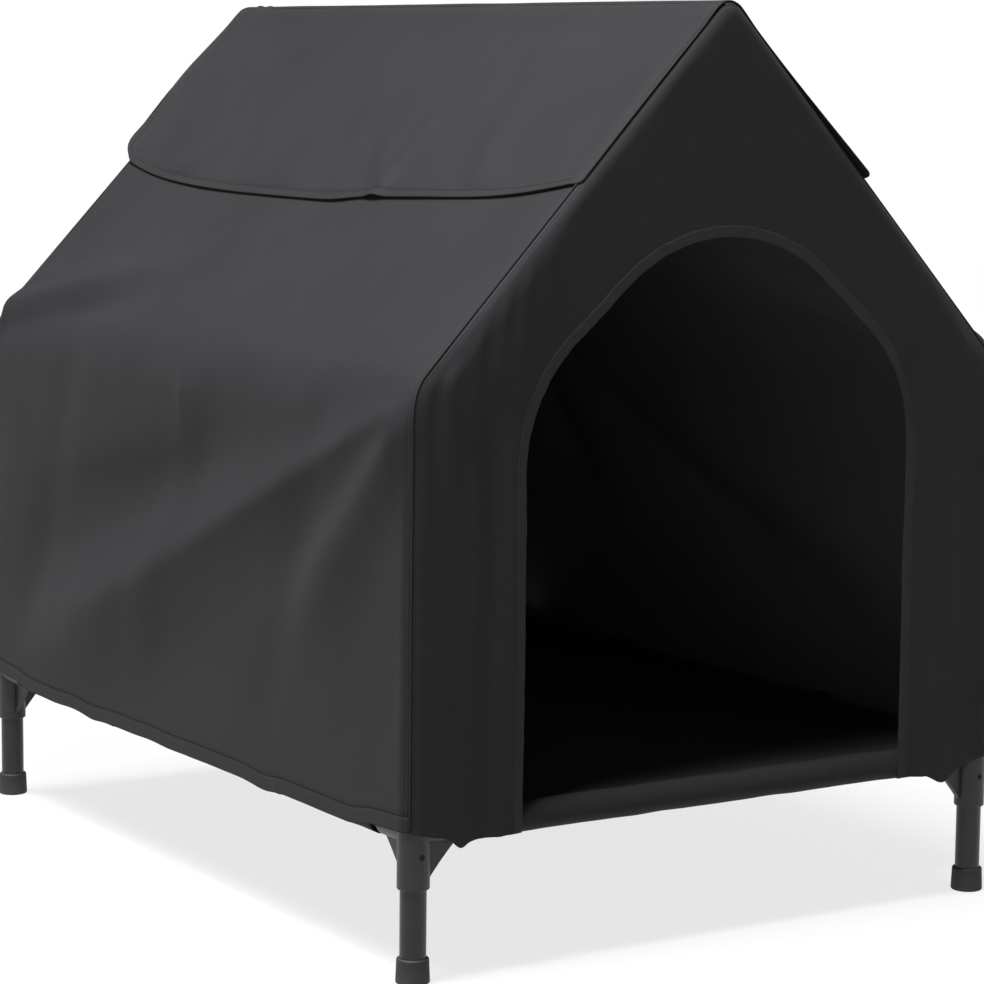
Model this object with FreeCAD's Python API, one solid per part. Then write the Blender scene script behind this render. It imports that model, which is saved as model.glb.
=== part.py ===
import FreeCAD, Part

import math
import os

# Steel pet house: a tube frame with four legs, a sling mat and a fitted cloth cover with an arched doorway.
# Millimetres, +Z up. Origin on the floor at the middle of the four legs. The doorway faces -Y.

# Driving dimensions: frame
LEG_SPAN_X = 668.0          # leg axis to leg axis across the doorway
LEG_SPAN_Y = 891.0          # leg axis to leg axis along the house
TUBE_OD = 25.0
TUBE_WALL = 1.2
RAIL_Z = 145.0              # height of the bed rails' axes
EAVE_Z = 536.0              # height where upright and rafter axes would cross
APEX_Z = 881.0              # height where the rafter axes cross
BEND_R = 57.0               # bend radius of the gable tubes, on the axis

# Driving dimensions: connectors and feet
SOCKET_WALL = 2.7
SOCKET_CLEARANCE = 0.15     # radial gap between a tube and its socket
RAIL_SOCKET_WALL = 2.3
SOCKET_REACH = 45.0         # leg axis to the mouth of a rail socket
SOCKET_DROP = 56.0          # rail axis to the mouth of the leg sleeve
SOCKET_RISE = 60.0          # rail axis to the mouth of the gable tube socket
SOCKET_EDGE = 0.8           # chamfer on the mouths of the sockets
CORE_HALF = 16.0            # solid core between the sockets
HUB_EASE = 0.2              # apex hub sphere under the sockets' surface
WEB_T = 6.0                 # thickness of the corner webs
WEB_DROP = 49.0             # rail axis to the foot of a web
WEB_WAIST = 29.0            # leg axis to the hollow of a web's curved edge
WEB_WAIST_DROP = 31.0       # rail axis to the hollow of a web's curved edge
WEB_TOP_DROP = 14.0         # rail axis to the outer tip of a web
WEB_BURY = 1.0              # web edges inside the sleeve and socket
APEX_REACH = 55.0           # apex to the mouth of a rafter socket
RIDGE_BOSS = 20.0           # apex plane to the end of the ridge tube
RIDGE_SPIGOT = 38.0         # spigot length inside the ridge tube
RIDGE_GAP = 0.3             # ridge tube to the cover that lies on it
SPIGOT_CLEARANCE = 0.15
FOOT_HEIGHT = 24.0
FOOT_TOP_OD = 30.4
FOOT_BASE_OD = 32.4
FOOT_SOLE = 4.0
FOOT_CLEARANCE = 0.1
FOOT_ROUND = 2.0
SCREW_DROP = 24.0           # rail axis to the leg screws
SCREW_HEAD_OD = 6.0
SCREW_HEAD_H = 1.2
SCREW_SHANK_OD = 3.5
SCREW_LENGTH = 9.0
SCREW_RECESS = 0.5          # head sits this far under the sleeve's surface
SCREW_CLEARANCE = 0.15
SCREW_SLOT_L = 4.2
SCREW_SLOT_W = 0.9
SCREW_SLOT_D = 0.7

# Driving dimensions: mat
MAT_T = 1.2
MAT_GAP = 0.3               # sleeve to rail
MAT_NOTCH = 66.0            # leg axis to the edge of the mat's corner notch
MAT_NOTCH_R = 18.0

# Driving dimensions: cover
COVER_T = 1.2
COVER_GAP = 0.45            # sockets to the cover's inside
HEM_Z = 132.0
SCOOP_RISE = 13.0           # the hem rises to each corner
SCOOP_RUN = 80.0
DOOR_INSET = 107.0          # leg axis to the jamb of the doorway
DOOR_TOP_Z = 681.0
DOOR_STRAIGHT = 76.0        # straight part between crown and shoulder
DOOR_SHOULDER_R = 165.0
DOOR_SLOPE_DEG = 41.0       # slope of the straight part
BINDING_W = 10.0
BINDING_T = 0.7
EAVE_SOFTEN = 14.0          # extra eave radius half way between the gable frames
ROOF_SAG = 5.0
WALL_SAG = 8.0
QUARTER_DRAPE = 0.75        # drape a quarter of the way along, as a share of that midway
FOLD_Z = 250.0              # lowest point of the wall's swag fold
FOLD_START = 5.0            # the fold starts this far below the eave bend
STRAIGHT_END = 36.0         # length of cover held straight beside each gable frame
VENT_TOP = 40.0             # down the slope from the ridge bend to the vent
VENT_DROP = 140.0
VENT_LENGTH = 600.0
VENT_CLEARANCE = 0.2

# Driving dimensions: ridge band and flaps
FLAP_T = 1.0
FLAP_CLEARANCE = 0.7        # ridge band and flap above the cover
BAND_HALF_DEG = 22.0        # half angle of the ridge band round the ridge
HINGE_DEG = 29.0            # angle of the flap hinge round the ridge
HINGE_BEAD_R = 0.8          # round folded edge that the flap turns on
FLAP_DROP_END = 228.0       # down the slope from the ridge bend to the flap's edge, at its ends
FLAP_DROP_MID = 266.0
FLAP_LIFT = 7.0             # highest lift of the flap's wavy edge over the roof
FLAP_EDGE_GAP = 1.5
FLAP_HOLLOW = 0.12          # hollow of the flap's slope, as a share of its edge's lift
FLAP_OVERHANG = 6.0         # flaps and ridge band past the gable panels
# Sections of the flap: place along its half length, share of the middle's extra drop, share of FLAP_LIFT
FLAP_WAVES = ((-1.0, 0.0, 0.5), (-0.66, 0.66, 1.0), (-0.3, 0.82, 0.3), (0.05, 0.98, 0.8), (0.38, 1.0, 0.2),
              (0.74, 0.76, 0.9), (1.0, 0.0, 0.6))

# Driving dimensions: hem straps
STRAP_W = 26.0
STRAP_T = 0.8
STRAP_GAP = 0.35
STRAP_SWEEP_DEG = 215.0
SIDE_STRAP_Y = 185.0
REAR_STRAP_X = 160.0
FRONT_STRAP_INSET = 84.0    # leg axis to the middle of a front strap

# Derived sizes
HALF_X = LEG_SPAN_X / 2
HALF_Y = LEG_SPAN_Y / 2
TUBE_R = TUBE_OD / 2
DOOR_HALF = HALF_X - DOOR_INSET
DOOR_SLOPE = math.radians(DOOR_SLOPE_DEG)
DOOR_SHOULDER_RUN = DOOR_SHOULDER_R * (1 - math.sin(DOOR_SLOPE))
DOOR_CROWN_RUN = DOOR_HALF - DOOR_SHOULDER_RUN - DOOR_STRAIGHT * math.cos(DOOR_SLOPE)
DOOR_CROWN_R = DOOR_CROWN_RUN / math.sin(DOOR_SLOPE)
FRONT_STRAP_X = HALF_X - FRONT_STRAP_INSET
BORE_R = TUBE_R + SOCKET_CLEARANCE
SOCKET_R = BORE_R + SOCKET_WALL
RAIL_SOCKET_R = BORE_R + RAIL_SOCKET_WALL
COVER_IN = SOCKET_R + COVER_GAP
COVER_OUT = COVER_IN + COVER_T
PITCH = math.atan2(APEX_Z - EAVE_Z, HALF_X)
TURN = math.pi / 2 - PITCH
FLAP_IN = COVER_OUT + FLAP_CLEARANCE
MAT_IN = TUBE_R + MAT_GAP
MAT_OUT = MAT_IN + MAT_T
RIDGE_TUBE_Z = APEX_Z + COVER_IN - RIDGE_GAP - TUBE_R
FLAP_HALF = HALF_Y + COVER_OUT + FLAP_OVERHANG

V = FreeCAD.Vector
X_AXIS = V(1, 0, 0)
Y_AXIS = V(0, 1, 0)
Z_AXIS = V(0, 0, 1)
ORIGIN = V(0, 0, 0)
SLOPE_DIR = V(-math.cos(PITCH), 0, -math.sin(PITCH))
SLOPE_NORMAL = V(-math.sin(PITCH), 0, math.cos(PITCH))
APEX = V(0, 0, APEX_Z)
REACH_ALL = 3 * (LEG_SPAN_X + LEG_SPAN_Y)
LOFT_DEGREE = 3


# Small helpers
def line(a, b):
    return Part.LineSegment(a, b).toShape()


def arc(a, through, b):
    return Part.Arc(a, through, b).toShape()


def bowed(a, b, bow):
    """A line from a to b, or a shallow arc whose middle is moved by the vector bow."""
    if bow.Length < 0.01:
        return line(a, b)
    return arc(a, (a + b) * 0.5 + bow, b)


def plate(edges, direction):
    return Part.Face(Part.Wire(Part.__sortEdges__(edges))).extrude(direction)


def rod(start, end, radius):
    return Part.makeCylinder(radius, (end - start).Length, start, end - start)


def tube(start, end):
    return rod(start, end, TUBE_R).cut(rod(start, end, TUBE_R - TUBE_WALL))


def mirror_x(shape):
    return shape.mirror(ORIGIN, X_AXIS)


def mirror_y(shape):
    return shape.mirror(ORIGIN, Y_AXIS)


def group(shapes):
    return Part.makeCompound(shapes)


def corners(shape):
    """The four copies of a piece drawn at the front left corner."""
    return {
        "front_left": shape,
        "front_right": mirror_x(shape),
        "rear_left": mirror_y(shape),
        "rear_right": mirror_x(mirror_y(shape)),
    }


# The gable outline at a distance off the tube axis
def eave_centre(bend):
    return V(-HALF_X + bend, 0, EAVE_Z - bend * math.tan(TURN / 2))


def eave_points(offset, bend):
    """Start, middle and end of the eave bend, from the roof down to the wall."""
    centre = eave_centre(bend)
    radius = bend + offset
    middle = (SLOPE_NORMAL - X_AXIS).normalize()
    return centre + SLOPE_NORMAL * radius, centre + middle * radius, centre - X_AXIS * radius


def round_ridge(radius, degrees):
    """The point at this angle left of the top on a circle round the apex."""
    angle = math.radians(degrees)
    return APEX + V(-math.sin(angle), 0, math.cos(angle)) * radius


# Frame
def leg_axis_point(z):
    return V(-HALF_X, -HALF_Y, z)


def screw_axis(depth):
    """A point on the front left leg screw's axis, at this distance out from the leg's axis."""
    return leg_axis_point(RAIL_Z - SCREW_DROP) - Y_AXIS * depth


def make_leg():
    leg = tube(leg_axis_point(FOOT_SOLE), leg_axis_point(RAIL_Z - CORE_HALF))
    hole = rod(screw_axis(0), screw_axis(SOCKET_R), SCREW_SHANK_OD / 2 + SCREW_CLEARANCE)
    return leg.cut(hole)


def make_foot():
    base = leg_axis_point(0)
    body = Part.makeCone(FOOT_BASE_OD / 2, FOOT_TOP_OD / 2, FOOT_HEIGHT, base, Z_AXIS)
    rims = [e for e in body.Edges if e.BoundBox.ZLength < 0.01]
    body = body.makeFillet(FOOT_ROUND, rims)
    return body.cut(rod(leg_axis_point(FOOT_SOLE), leg_axis_point(FOOT_HEIGHT), TUBE_R + FOOT_CLEARANCE))


def make_screw():
    head_top = SOCKET_R - SCREW_RECESS
    head = rod(screw_axis(head_top), screw_axis(head_top - SCREW_HEAD_H), SCREW_HEAD_OD / 2)
    shank = rod(screw_axis(head_top), screw_axis(head_top - SCREW_LENGTH), SCREW_SHANK_OD / 2)
    screw = head.fuse(shank)
    for width, height in ((SCREW_SLOT_L, SCREW_SLOT_W), (SCREW_SLOT_W, SCREW_SLOT_L)):
        corner = screw_axis(head_top) - V(width / 2, 0, height / 2)
        screw = screw.cut(Part.makeBox(width, SCREW_SLOT_D, height, corner))
    return screw.removeSplitter()


def make_web():
    """The upright web in the XZ plane under a rail socket, at the origin."""
    tip = V(SOCKET_REACH, 0, -WEB_TOP_DROP)
    foot = V(SOCKET_R - WEB_BURY, 0, -WEB_DROP)
    waist = V(WEB_WAIST, 0, -WEB_WAIST_DROP)
    back = V(SOCKET_R - WEB_BURY, 0, -WEB_TOP_DROP + WEB_BURY)
    top = V(SOCKET_REACH, 0, -WEB_TOP_DROP + WEB_BURY)
    edges = [arc(tip, waist, foot), line(foot, back), line(back, top), line(top, tip)]
    return plate(edges, Y_AXIS * WEB_T).translated(Y_AXIS * (-WEB_T / 2))


def mouth_chamfer(socket):
    ends = sorted(socket.Edges, key=lambda e: e.CenterOfMass.Length)
    return socket.makeChamfer(SOCKET_EDGE, [ends[-1]])


def make_connector(side_x, side_y):
    """One corner: sleeve down to the leg, sockets in to both rails and up to the gable tube."""
    inward_x = X_AXIS * -side_x
    inward_y = Y_AXIS * -side_y
    body = rod(-Z_AXIS * SOCKET_DROP, Z_AXIS * SOCKET_RISE, SOCKET_R)
    rims = [e for e in body.Edges if e.BoundBox.ZLength < 0.01]
    body = body.makeChamfer(SOCKET_EDGE, rims)
    web = make_web()
    for direction in (inward_x, inward_y):
        turn = math.degrees(math.atan2(direction.y, direction.x))
        socket = mouth_chamfer(rod(ORIGIN, direction * SOCKET_REACH, RAIL_SOCKET_R))
        body = body.fuse(socket).fuse(web.rotated(ORIGIN, Z_AXIS, turn))
    arms = ((inward_x, SOCKET_REACH), (inward_y, SOCKET_REACH), (-Z_AXIS, SOCKET_DROP), (Z_AXIS, SOCKET_RISE))
    for direction, reach in arms:
        body = body.cut(rod(direction * CORE_HALF, direction * reach, BORE_R))
    screw = -Z_AXIS * SCREW_DROP
    out = Y_AXIS * side_y
    seat = screw + out * (SOCKET_R - SCREW_RECESS - SCREW_HEAD_H)
    body = body.cut(rod(screw + out * (SOCKET_R + SCREW_HEAD_H), seat, SCREW_HEAD_OD / 2 + SCREW_CLEARANCE))
    body = body.cut(rod(seat, screw + out * TUBE_R, SCREW_SHANK_OD / 2 + SCREW_CLEARANCE))
    return body.translated(V(side_x * HALF_X, side_y * HALF_Y, RAIL_Z))


def make_gable_tube():
    """The front left bent tube: upright, eave bend and rafter."""
    start = V(-HALF_X, 0, RAIL_Z + CORE_HALF)
    roof_end, middle, wall_end = eave_points(0, BEND_R)
    top = APEX + SLOPE_DIR * CORE_HALF
    path = Part.Wire([line(start, wall_end), arc(wall_end, middle, roof_end), line(roof_end, top)])
    skins = []
    for radius in (TUBE_R, TUBE_R - TUBE_WALL):
        ring = Part.Wire(Part.makeCircle(radius, start, Z_AXIS))
        skins.append(path.makePipeShell([ring], True, True))
    return skins[0].cut(skins[1]).translated(-Y_AXIS * HALF_Y)


def make_apex_connector():
    """The front apex: two rafter sockets and a spigot for the ridge tube."""
    left = SLOPE_DIR
    right = V(-SLOPE_DIR.x, 0, SLOPE_DIR.z)
    body = Part.makeSphere(SOCKET_R - HUB_EASE)
    for direction in (left, right):
        body = body.fuse(mouth_chamfer(rod(ORIGIN, direction * APEX_REACH, SOCKET_R)))
    for direction in (left, right):
        body = body.cut(rod(direction * CORE_HALF, direction * APEX_REACH, BORE_R))
    body = body.translated(V(0, -HALF_Y, APEX_Z))
    hub = V(0, -HALF_Y, RIDGE_TUBE_Z)
    boss_end = hub + Y_AXIS * RIDGE_BOSS
    boss = rod(hub, boss_end, TUBE_R)
    spigot = rod(hub, boss_end + Y_AXIS * RIDGE_SPIGOT, TUBE_R - TUBE_WALL - SPIGOT_CLEARANCE)
    return body.fuse([boss, spigot]).removeSplitter()


def make_ridge_tube():
    half = HALF_Y - RIDGE_BOSS
    return tube(V(0, -half, RIDGE_TUBE_Z), V(0, half, RIDGE_TUBE_Z))


def make_side_rail():
    half = HALF_Y - CORE_HALF
    return tube(V(-HALF_X, -half, RAIL_Z), V(-HALF_X, half, RAIL_Z))


def make_end_rail():
    half = HALF_X - CORE_HALF
    return tube(V(-half, -HALF_Y, RAIL_Z), V(half, -HALF_Y, RAIL_Z))


# Mat
def make_mat():
    half_x = HALF_X - MAT_NOTCH
    half_y = HALF_Y - MAT_NOTCH
    bottom = RAIL_Z + MAT_IN
    mat = Part.makeBox(LEG_SPAN_X, LEG_SPAN_Y, MAT_T, V(-HALF_X, -HALF_Y, bottom))
    notch = Part.makeBox(2 * MAT_NOTCH, 2 * MAT_NOTCH, 3 * MAT_T, V(-MAT_NOTCH, -MAT_NOTCH, bottom - MAT_T))
    upright = [e for e in notch.Edges if e.BoundBox.ZLength > 2 * MAT_T]
    notch = notch.makeFillet(MAT_NOTCH_R, upright)
    for x in (-HALF_X, HALF_X):
        for y in (-HALF_Y, HALF_Y):
            mat = mat.cut(notch.translated(V(x, y, 0)))
    rails = []
    for side in (-1, 1):
        rails.append((V(side * HALF_X, -half_y, RAIL_Z), V(side * HALF_X, half_y, RAIL_Z)))
        rails.append((V(-half_x, side * HALF_Y, RAIL_Z), V(half_x, side * HALF_Y, RAIL_Z)))
    for start, end in rails:
        mat = mat.fuse(rod(start, end, MAT_OUT))
    for start, end in rails:
        mat = mat.cut(rod(start, end, MAT_IN))
    return mat.removeSplitter()


# Cover
def half_gable_edges(offset):
    """The left half of a gable's outline, from the hem's corner up to the ridge."""
    roof_end, middle, wall_end = eave_points(offset, BEND_R)
    hem_corner = V(-HALF_X - offset, 0, HEM_Z + SCOOP_RISE)
    ridge_start = APEX + SLOPE_NORMAL * offset
    ridge_middle = round_ridge(offset, math.degrees(PITCH) / 2)
    return [
        line(hem_corner, wall_end),
        arc(wall_end, middle, roof_end),
        line(roof_end, ridge_start),
        arc(ridge_start, ridge_middle, APEX + Z_AXIS * offset),
    ]


def door_half_edges(grow):
    """The left half of the doorway's outline, moved out into the cloth by grow."""
    slope = DOOR_SLOPE
    half = DOOR_HALF + grow
    crown = DOOR_CROWN_R + grow
    shoulder = DOOR_SHOULDER_R + grow
    crown_centre = V(0, 0, DOOR_TOP_Z - DOOR_CROWN_R)
    crown_end = crown_centre + V(-math.sin(slope), 0, math.cos(slope)) * crown
    crown_middle = crown_centre + V(-math.sin(slope / 2), 0, math.cos(slope / 2)) * crown
    shoulder_x = -half + shoulder
    slope_end_x = shoulder_x - shoulder * math.sin(slope)
    slope_end_z = crown_end.z - (crown_end.x - slope_end_x) * math.tan(slope)
    shoulder_z = slope_end_z - shoulder * math.cos(slope)
    middle_angle = (slope + math.pi / 2) / 2
    shoulder_middle = V(shoulder_x - shoulder * math.sin(middle_angle), 0,
                        shoulder_z + shoulder * math.cos(middle_angle))
    slope_end = V(slope_end_x, 0, slope_end_z)
    jamb_top = V(-half, 0, shoulder_z)
    return [
        arc(crown_centre + Z_AXIS * crown, crown_middle, crown_end),
        line(crown_end, slope_end),
        arc(slope_end, shoulder_middle, jamb_top),
        line(jamb_top, V(-half, 0, HEM_Z)),
    ]


def gable_hem_edges(inner_x):
    """The left half of a gable's hem, from the corner's scoop in to inner_x."""
    corner = V(-HALF_X - COVER_OUT, 0, HEM_Z + SCOOP_RISE)
    scoop_end = V(-HALF_X - COVER_OUT + SCOOP_RUN, 0, HEM_Z)
    return [line(corner, scoop_end), line(scoop_end, V(inner_x, 0, HEM_Z))]


def both_halves(edges):
    return edges + [mirror_x(e) for e in edges]


def on_front(shape):
    """Move a piece drawn in the XZ plane to the outside of the front gable frame."""
    return shape.translated(-Y_AXIS * (HALF_Y + COVER_IN))


def make_front_panel_flat():
    half = half_gable_edges(COVER_OUT) + gable_hem_edges(-DOOR_HALF) + door_half_edges(0)
    return plate(both_halves(half), -Y_AXIS * COVER_T)


def make_rear_panel():
    half = half_gable_edges(COVER_OUT) + gable_hem_edges(0)
    return mirror_y(on_front(plate(both_halves(half), -Y_AXIS * COVER_T)))


def door_shape(grow, depth):
    """The doorway's outline closed along the hem, as a plate of this depth."""
    half = DOOR_HALF + grow
    sill = line(V(-half, 0, HEM_Z), V(0, 0, HEM_Z))
    return plate(both_halves(door_half_edges(grow) + [sill]), -Y_AXIS * depth)


def make_door_binding():
    depth = COVER_T + 2 * BINDING_T
    ring = door_shape(BINDING_W, depth).cut(door_shape(-BINDING_T, depth)).translated(Y_AXIS * BINDING_T)
    return on_front(ring.cut(make_front_panel_flat()))


def wall_section(drape):
    """One closed section through the left wall and roof. drape is 0 at a gable frame and 1 midway."""
    bend = BEND_R + drape * EAVE_SOFTEN
    roof_bow = SLOPE_NORMAL * (-drape * ROOF_SAG)
    wall_bow = X_AXIS * (drape * WALL_SAG)
    skins = []
    for offset in (COVER_OUT, COVER_IN):
        roof_end, middle, wall_end = eave_points(offset, bend)
        ridge_top = APEX + Z_AXIS * offset
        ridge_end = APEX + SLOPE_NORMAL * offset
        fold_top = EAVE_Z - BEND_R - FOLD_START
        fold = V(-HALF_X - offset, 0, fold_top + drape * (FOLD_Z - fold_top))
        hem = V(-HALF_X - offset, 0, HEM_Z)
        skins.append([
            arc(ridge_top, round_ridge(offset, math.degrees(PITCH) / 2), ridge_end),
            bowed(ridge_end, roof_end, roof_bow),
            arc(roof_end, middle, wall_end),
            bowed(wall_end, fold, wall_bow),
            line(fold, hem),
        ])
    closing = [
        line(V(-HALF_X - COVER_OUT, 0, HEM_Z), V(-HALF_X - COVER_IN, 0, HEM_Z)),
        line(APEX + Z_AXIS * COVER_IN, APEX + Z_AXIS * COVER_OUT),
    ]
    return Part.Wire(Part.__sortEdges__(skins[0] + skins[1] + closing))


def make_side_sheet():
    """The left wall and half roof as one sheet lofted from gable frame to gable frame."""
    front_end = on_front(wall_section(0))
    front_held = wall_section(0).translated(-Y_AXIS * (HALF_Y - STRAIGHT_END))
    front_quarter = wall_section(QUARTER_DRAPE).translated(-Y_AXIS * (HALF_Y / 2))
    sections = [front_end, front_held, front_quarter, wall_section(1)]
    sections += [mirror_y(front_quarter), mirror_y(front_held), mirror_y(front_end)]
    return Part.makeLoft(sections, True, False, False, LOFT_DEGREE)


def hem_scoops():
    end = HALF_Y + COVER_OUT
    below = HEM_Z - SCOOP_RISE
    run = 2 * SCOOP_RUN
    points = [V(0, -end, HEM_Z + SCOOP_RISE), V(0, -end, below), V(0, -end + run, below)]
    wedge = plate([line(points[0], points[1]), line(points[1], points[2]), line(points[2], points[0])],
                  -X_AXIS * REACH_ALL)
    return [wedge, mirror_y(wedge)]


def vent_prism(shrink):
    """A block through the roof where the vent is, made smaller all round by shrink."""
    length = VENT_LENGTH - 2 * shrink
    depth = 4 * COVER_IN
    corner = APEX + SLOPE_NORMAL * (COVER_IN - depth / 2) + SLOPE_DIR * (VENT_TOP + shrink) - Y_AXIS * (length / 2)
    down = SLOPE_DIR * (VENT_DROP - 2 * shrink)
    edges = [line(corner, corner + down), line(corner + down, corner + down + Y_AXIS * length),
             line(corner + down + Y_AXIS * length, corner + Y_AXIS * length),
             line(corner + Y_AXIS * length, corner)]
    return plate(edges, SLOPE_NORMAL * depth)


# Ridge band, flaps and straps
def make_ridge_band():
    inner = FLAP_IN
    outer = FLAP_IN + FLAP_T
    ends = []
    for radius in (inner, outer):
        ends.append((round_ridge(radius, BAND_HALF_DEG), round_ridge(radius, -BAND_HALF_DEG)))
    edges = [
        arc(ends[0][0], APEX + Z_AXIS * inner, ends[0][1]),
        arc(ends[1][0], APEX + Z_AXIS * outer, ends[1][1]),
        line(ends[0][0], ends[1][0]),
        line(ends[0][1], ends[1][1]),
    ]
    return plate(edges, Y_AXIS * 2 * FLAP_HALF).translated(-Y_AXIS * FLAP_HALF)


def flap_section(y, drop, lift):
    """A closed section of the left flap, from the hinge over the ridge bend to the free edge."""
    skins = []
    for radius in (FLAP_IN, FLAP_IN + FLAP_T):
        start = round_ridge(radius, HINGE_DEG)
        bend_middle = round_ridge(radius, (HINGE_DEG + math.degrees(PITCH)) / 2)
        bend_end = APEX + SLOPE_NORMAL * radius
        edge = bend_end + SLOPE_DIR * drop + SLOPE_NORMAL * (FLAP_EDGE_GAP + lift)
        bow = SLOPE_NORMAL * (-FLAP_HOLLOW * lift)
        skins.append((start, arc(start, bend_middle, bend_end), bowed(bend_end, edge, bow), edge))
    closing = [line(skins[0][0], skins[1][0]), line(skins[0][3], skins[1][3])]
    edges = [skins[0][1], skins[0][2], skins[1][1], skins[1][2]] + closing
    return Part.Wire(Part.__sortEdges__(edges)).translated(Y_AXIS * y)


def make_flap():
    """The left flap, lofted through sections whose edge drops lower in the middle and waves up and down."""
    middle_drop = FLAP_DROP_MID - FLAP_DROP_END
    sections = []
    for along, fullness, lift in FLAP_WAVES:
        sections.append(flap_section(along * FLAP_HALF, FLAP_DROP_END + fullness * middle_drop, lift * FLAP_LIFT))
    sheet = Part.makeLoft(sections, True, False, False, LOFT_DEGREE)
    axis = round_ridge(FLAP_IN + FLAP_T / 2, HINGE_DEG)
    bead = rod(axis - Y_AXIS * FLAP_HALF, axis + Y_AXIS * FLAP_HALF, HINGE_BEAD_R)
    return sheet.fuse(bead)


def make_strap():
    """A strap round a left rail at y = 0: a tab up inside the cover and a band under the rail."""
    inner = MAT_OUT + STRAP_GAP
    outer = inner + STRAP_T
    centre = V(-HALF_X, 0, RAIL_Z)
    start_angle = math.pi
    end_angle = start_angle + math.radians(STRAP_SWEEP_DEG)
    edges = []
    ends = []
    for radius in (inner, outer):
        places = []
        for angle in (start_angle, (start_angle + end_angle) / 2, end_angle):
            places.append(centre + V(math.cos(angle), 0, math.sin(angle)) * radius)
        edges.append(arc(*places))
        ends.append((places[0], places[2]))
    tab_top = Z_AXIS * SOCKET_R
    edges.append(line(ends[0][1], ends[1][1]))
    edges.append(line(ends[0][0], ends[0][0] + tab_top))
    edges.append(line(ends[1][0], ends[1][0] + tab_top))
    edges.append(line(ends[0][0] + tab_top, ends[1][0] + tab_top))
    return plate(edges, Y_AXIS * STRAP_W).translated(-Y_AXIS * (STRAP_W / 2))


def make_end_strap():
    """The same strap round the front rail at x = 0."""
    turned = make_strap().translated(X_AXIS * HALF_X).rotated(ORIGIN, Z_AXIS, 90)
    return turned.translated(-Y_AXIS * HALF_Y)


# Build every piece
nodes = {}

for piece, shape in (("leg", make_leg()), ("foot", make_foot()), ("gable_tube", make_gable_tube())):
    for corner, placed in corners(shape).items():
        nodes[piece + "_" + corner] = placed

for end, side_y in (("front", -1), ("rear", 1)):
    for hand, side_x in (("left", -1), ("right", 1)):
        nodes["connector_" + end + "_" + hand] = make_connector(side_x, side_y)

nodes["leg_screws"] = group(list(corners(make_screw()).values()))
nodes["apex_connector_front"] = make_apex_connector()
nodes["apex_connector_rear"] = mirror_y(nodes["apex_connector_front"])
nodes["ridge_tube"] = make_ridge_tube()
nodes["rail_left"] = make_side_rail()
nodes["rail_right"] = mirror_x(nodes["rail_left"])
nodes["rail_front"] = make_end_rail()
nodes["rail_rear"] = mirror_y(nodes["rail_front"])
nodes["bed_mat"] = make_mat()

side_sheet = make_side_sheet().cut(hem_scoops())
nodes["cover_left_panel"] = side_sheet.cut(vent_prism(0))
nodes["cover_right_panel"] = mirror_x(nodes["cover_left_panel"])
nodes["roof_vent_mesh_left"] = side_sheet.common(vent_prism(VENT_CLEARANCE))
nodes["roof_vent_mesh_right"] = mirror_x(nodes["roof_vent_mesh_left"])
nodes["cover_front_panel"] = on_front(make_front_panel_flat())
nodes["cover_rear_panel"] = make_rear_panel()
nodes["door_binding"] = make_door_binding()

nodes["ridge_band"] = make_ridge_band()
nodes["roof_flap_left"] = make_flap()
nodes["roof_flap_right"] = mirror_x(nodes["roof_flap_left"])

side_straps = [make_strap().translated(Y_AXIS * y) for y in (-SIDE_STRAP_Y, SIDE_STRAP_Y)]
nodes["hem_straps_left"] = group(side_straps)
nodes["hem_straps_right"] = group([mirror_x(s) for s in side_straps])
front_straps = [make_end_strap().translated(X_AXIS * x) for x in (-FRONT_STRAP_X, FRONT_STRAP_X)]
rear_straps = [mirror_y(make_end_strap()).translated(X_AXIS * x) for x in (-REAR_STRAP_X, REAR_STRAP_X)]
nodes["hem_straps_front"] = group(front_straps)
nodes["hem_straps_rear"] = group(rear_straps)

# Export one STEP file for each piece
os.makedirs("parts", exist_ok=True)
for name, shape in nodes.items():
    shape.exportStep("parts/" + name + ".step")
    print(name, len(shape.Solids), "solids", round(shape.Volume / 1000, 1), "cm3", shape.isValid())
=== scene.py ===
# %% [markdown]
# # Steel pet house
# The house is a frame of bent steel tubes on four short legs. A sling mat is the bed, and a fitted black
# cloth cover with an arched doorway makes the walls and the roof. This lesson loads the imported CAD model,
# keeps its rigid parts, and sews the cloth round them.

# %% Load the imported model
import math

import bpy
import numpy as np
from mathutils import Matrix, Vector


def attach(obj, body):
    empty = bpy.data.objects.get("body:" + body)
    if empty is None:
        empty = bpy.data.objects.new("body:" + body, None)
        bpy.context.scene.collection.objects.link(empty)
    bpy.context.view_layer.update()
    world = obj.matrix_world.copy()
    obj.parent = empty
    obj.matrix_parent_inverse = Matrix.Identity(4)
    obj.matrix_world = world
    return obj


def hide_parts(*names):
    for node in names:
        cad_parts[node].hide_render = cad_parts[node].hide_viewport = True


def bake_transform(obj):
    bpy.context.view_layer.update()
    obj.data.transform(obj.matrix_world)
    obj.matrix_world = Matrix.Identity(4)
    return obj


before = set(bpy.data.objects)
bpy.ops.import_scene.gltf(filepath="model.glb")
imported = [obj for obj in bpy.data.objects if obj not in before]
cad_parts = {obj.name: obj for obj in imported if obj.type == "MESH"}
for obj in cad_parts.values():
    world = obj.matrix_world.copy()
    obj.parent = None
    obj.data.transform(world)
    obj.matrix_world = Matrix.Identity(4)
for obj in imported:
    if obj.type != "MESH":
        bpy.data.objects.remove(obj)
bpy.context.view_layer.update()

scene = bpy.context.scene

# %% [markdown]
# ## Sizes
# Every cloth piece hangs on the same frame, so its sizes are named once, in metres. Left is -X, the
# doorway faces -Y, and the origin is on the floor in the middle of the four legs.

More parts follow.
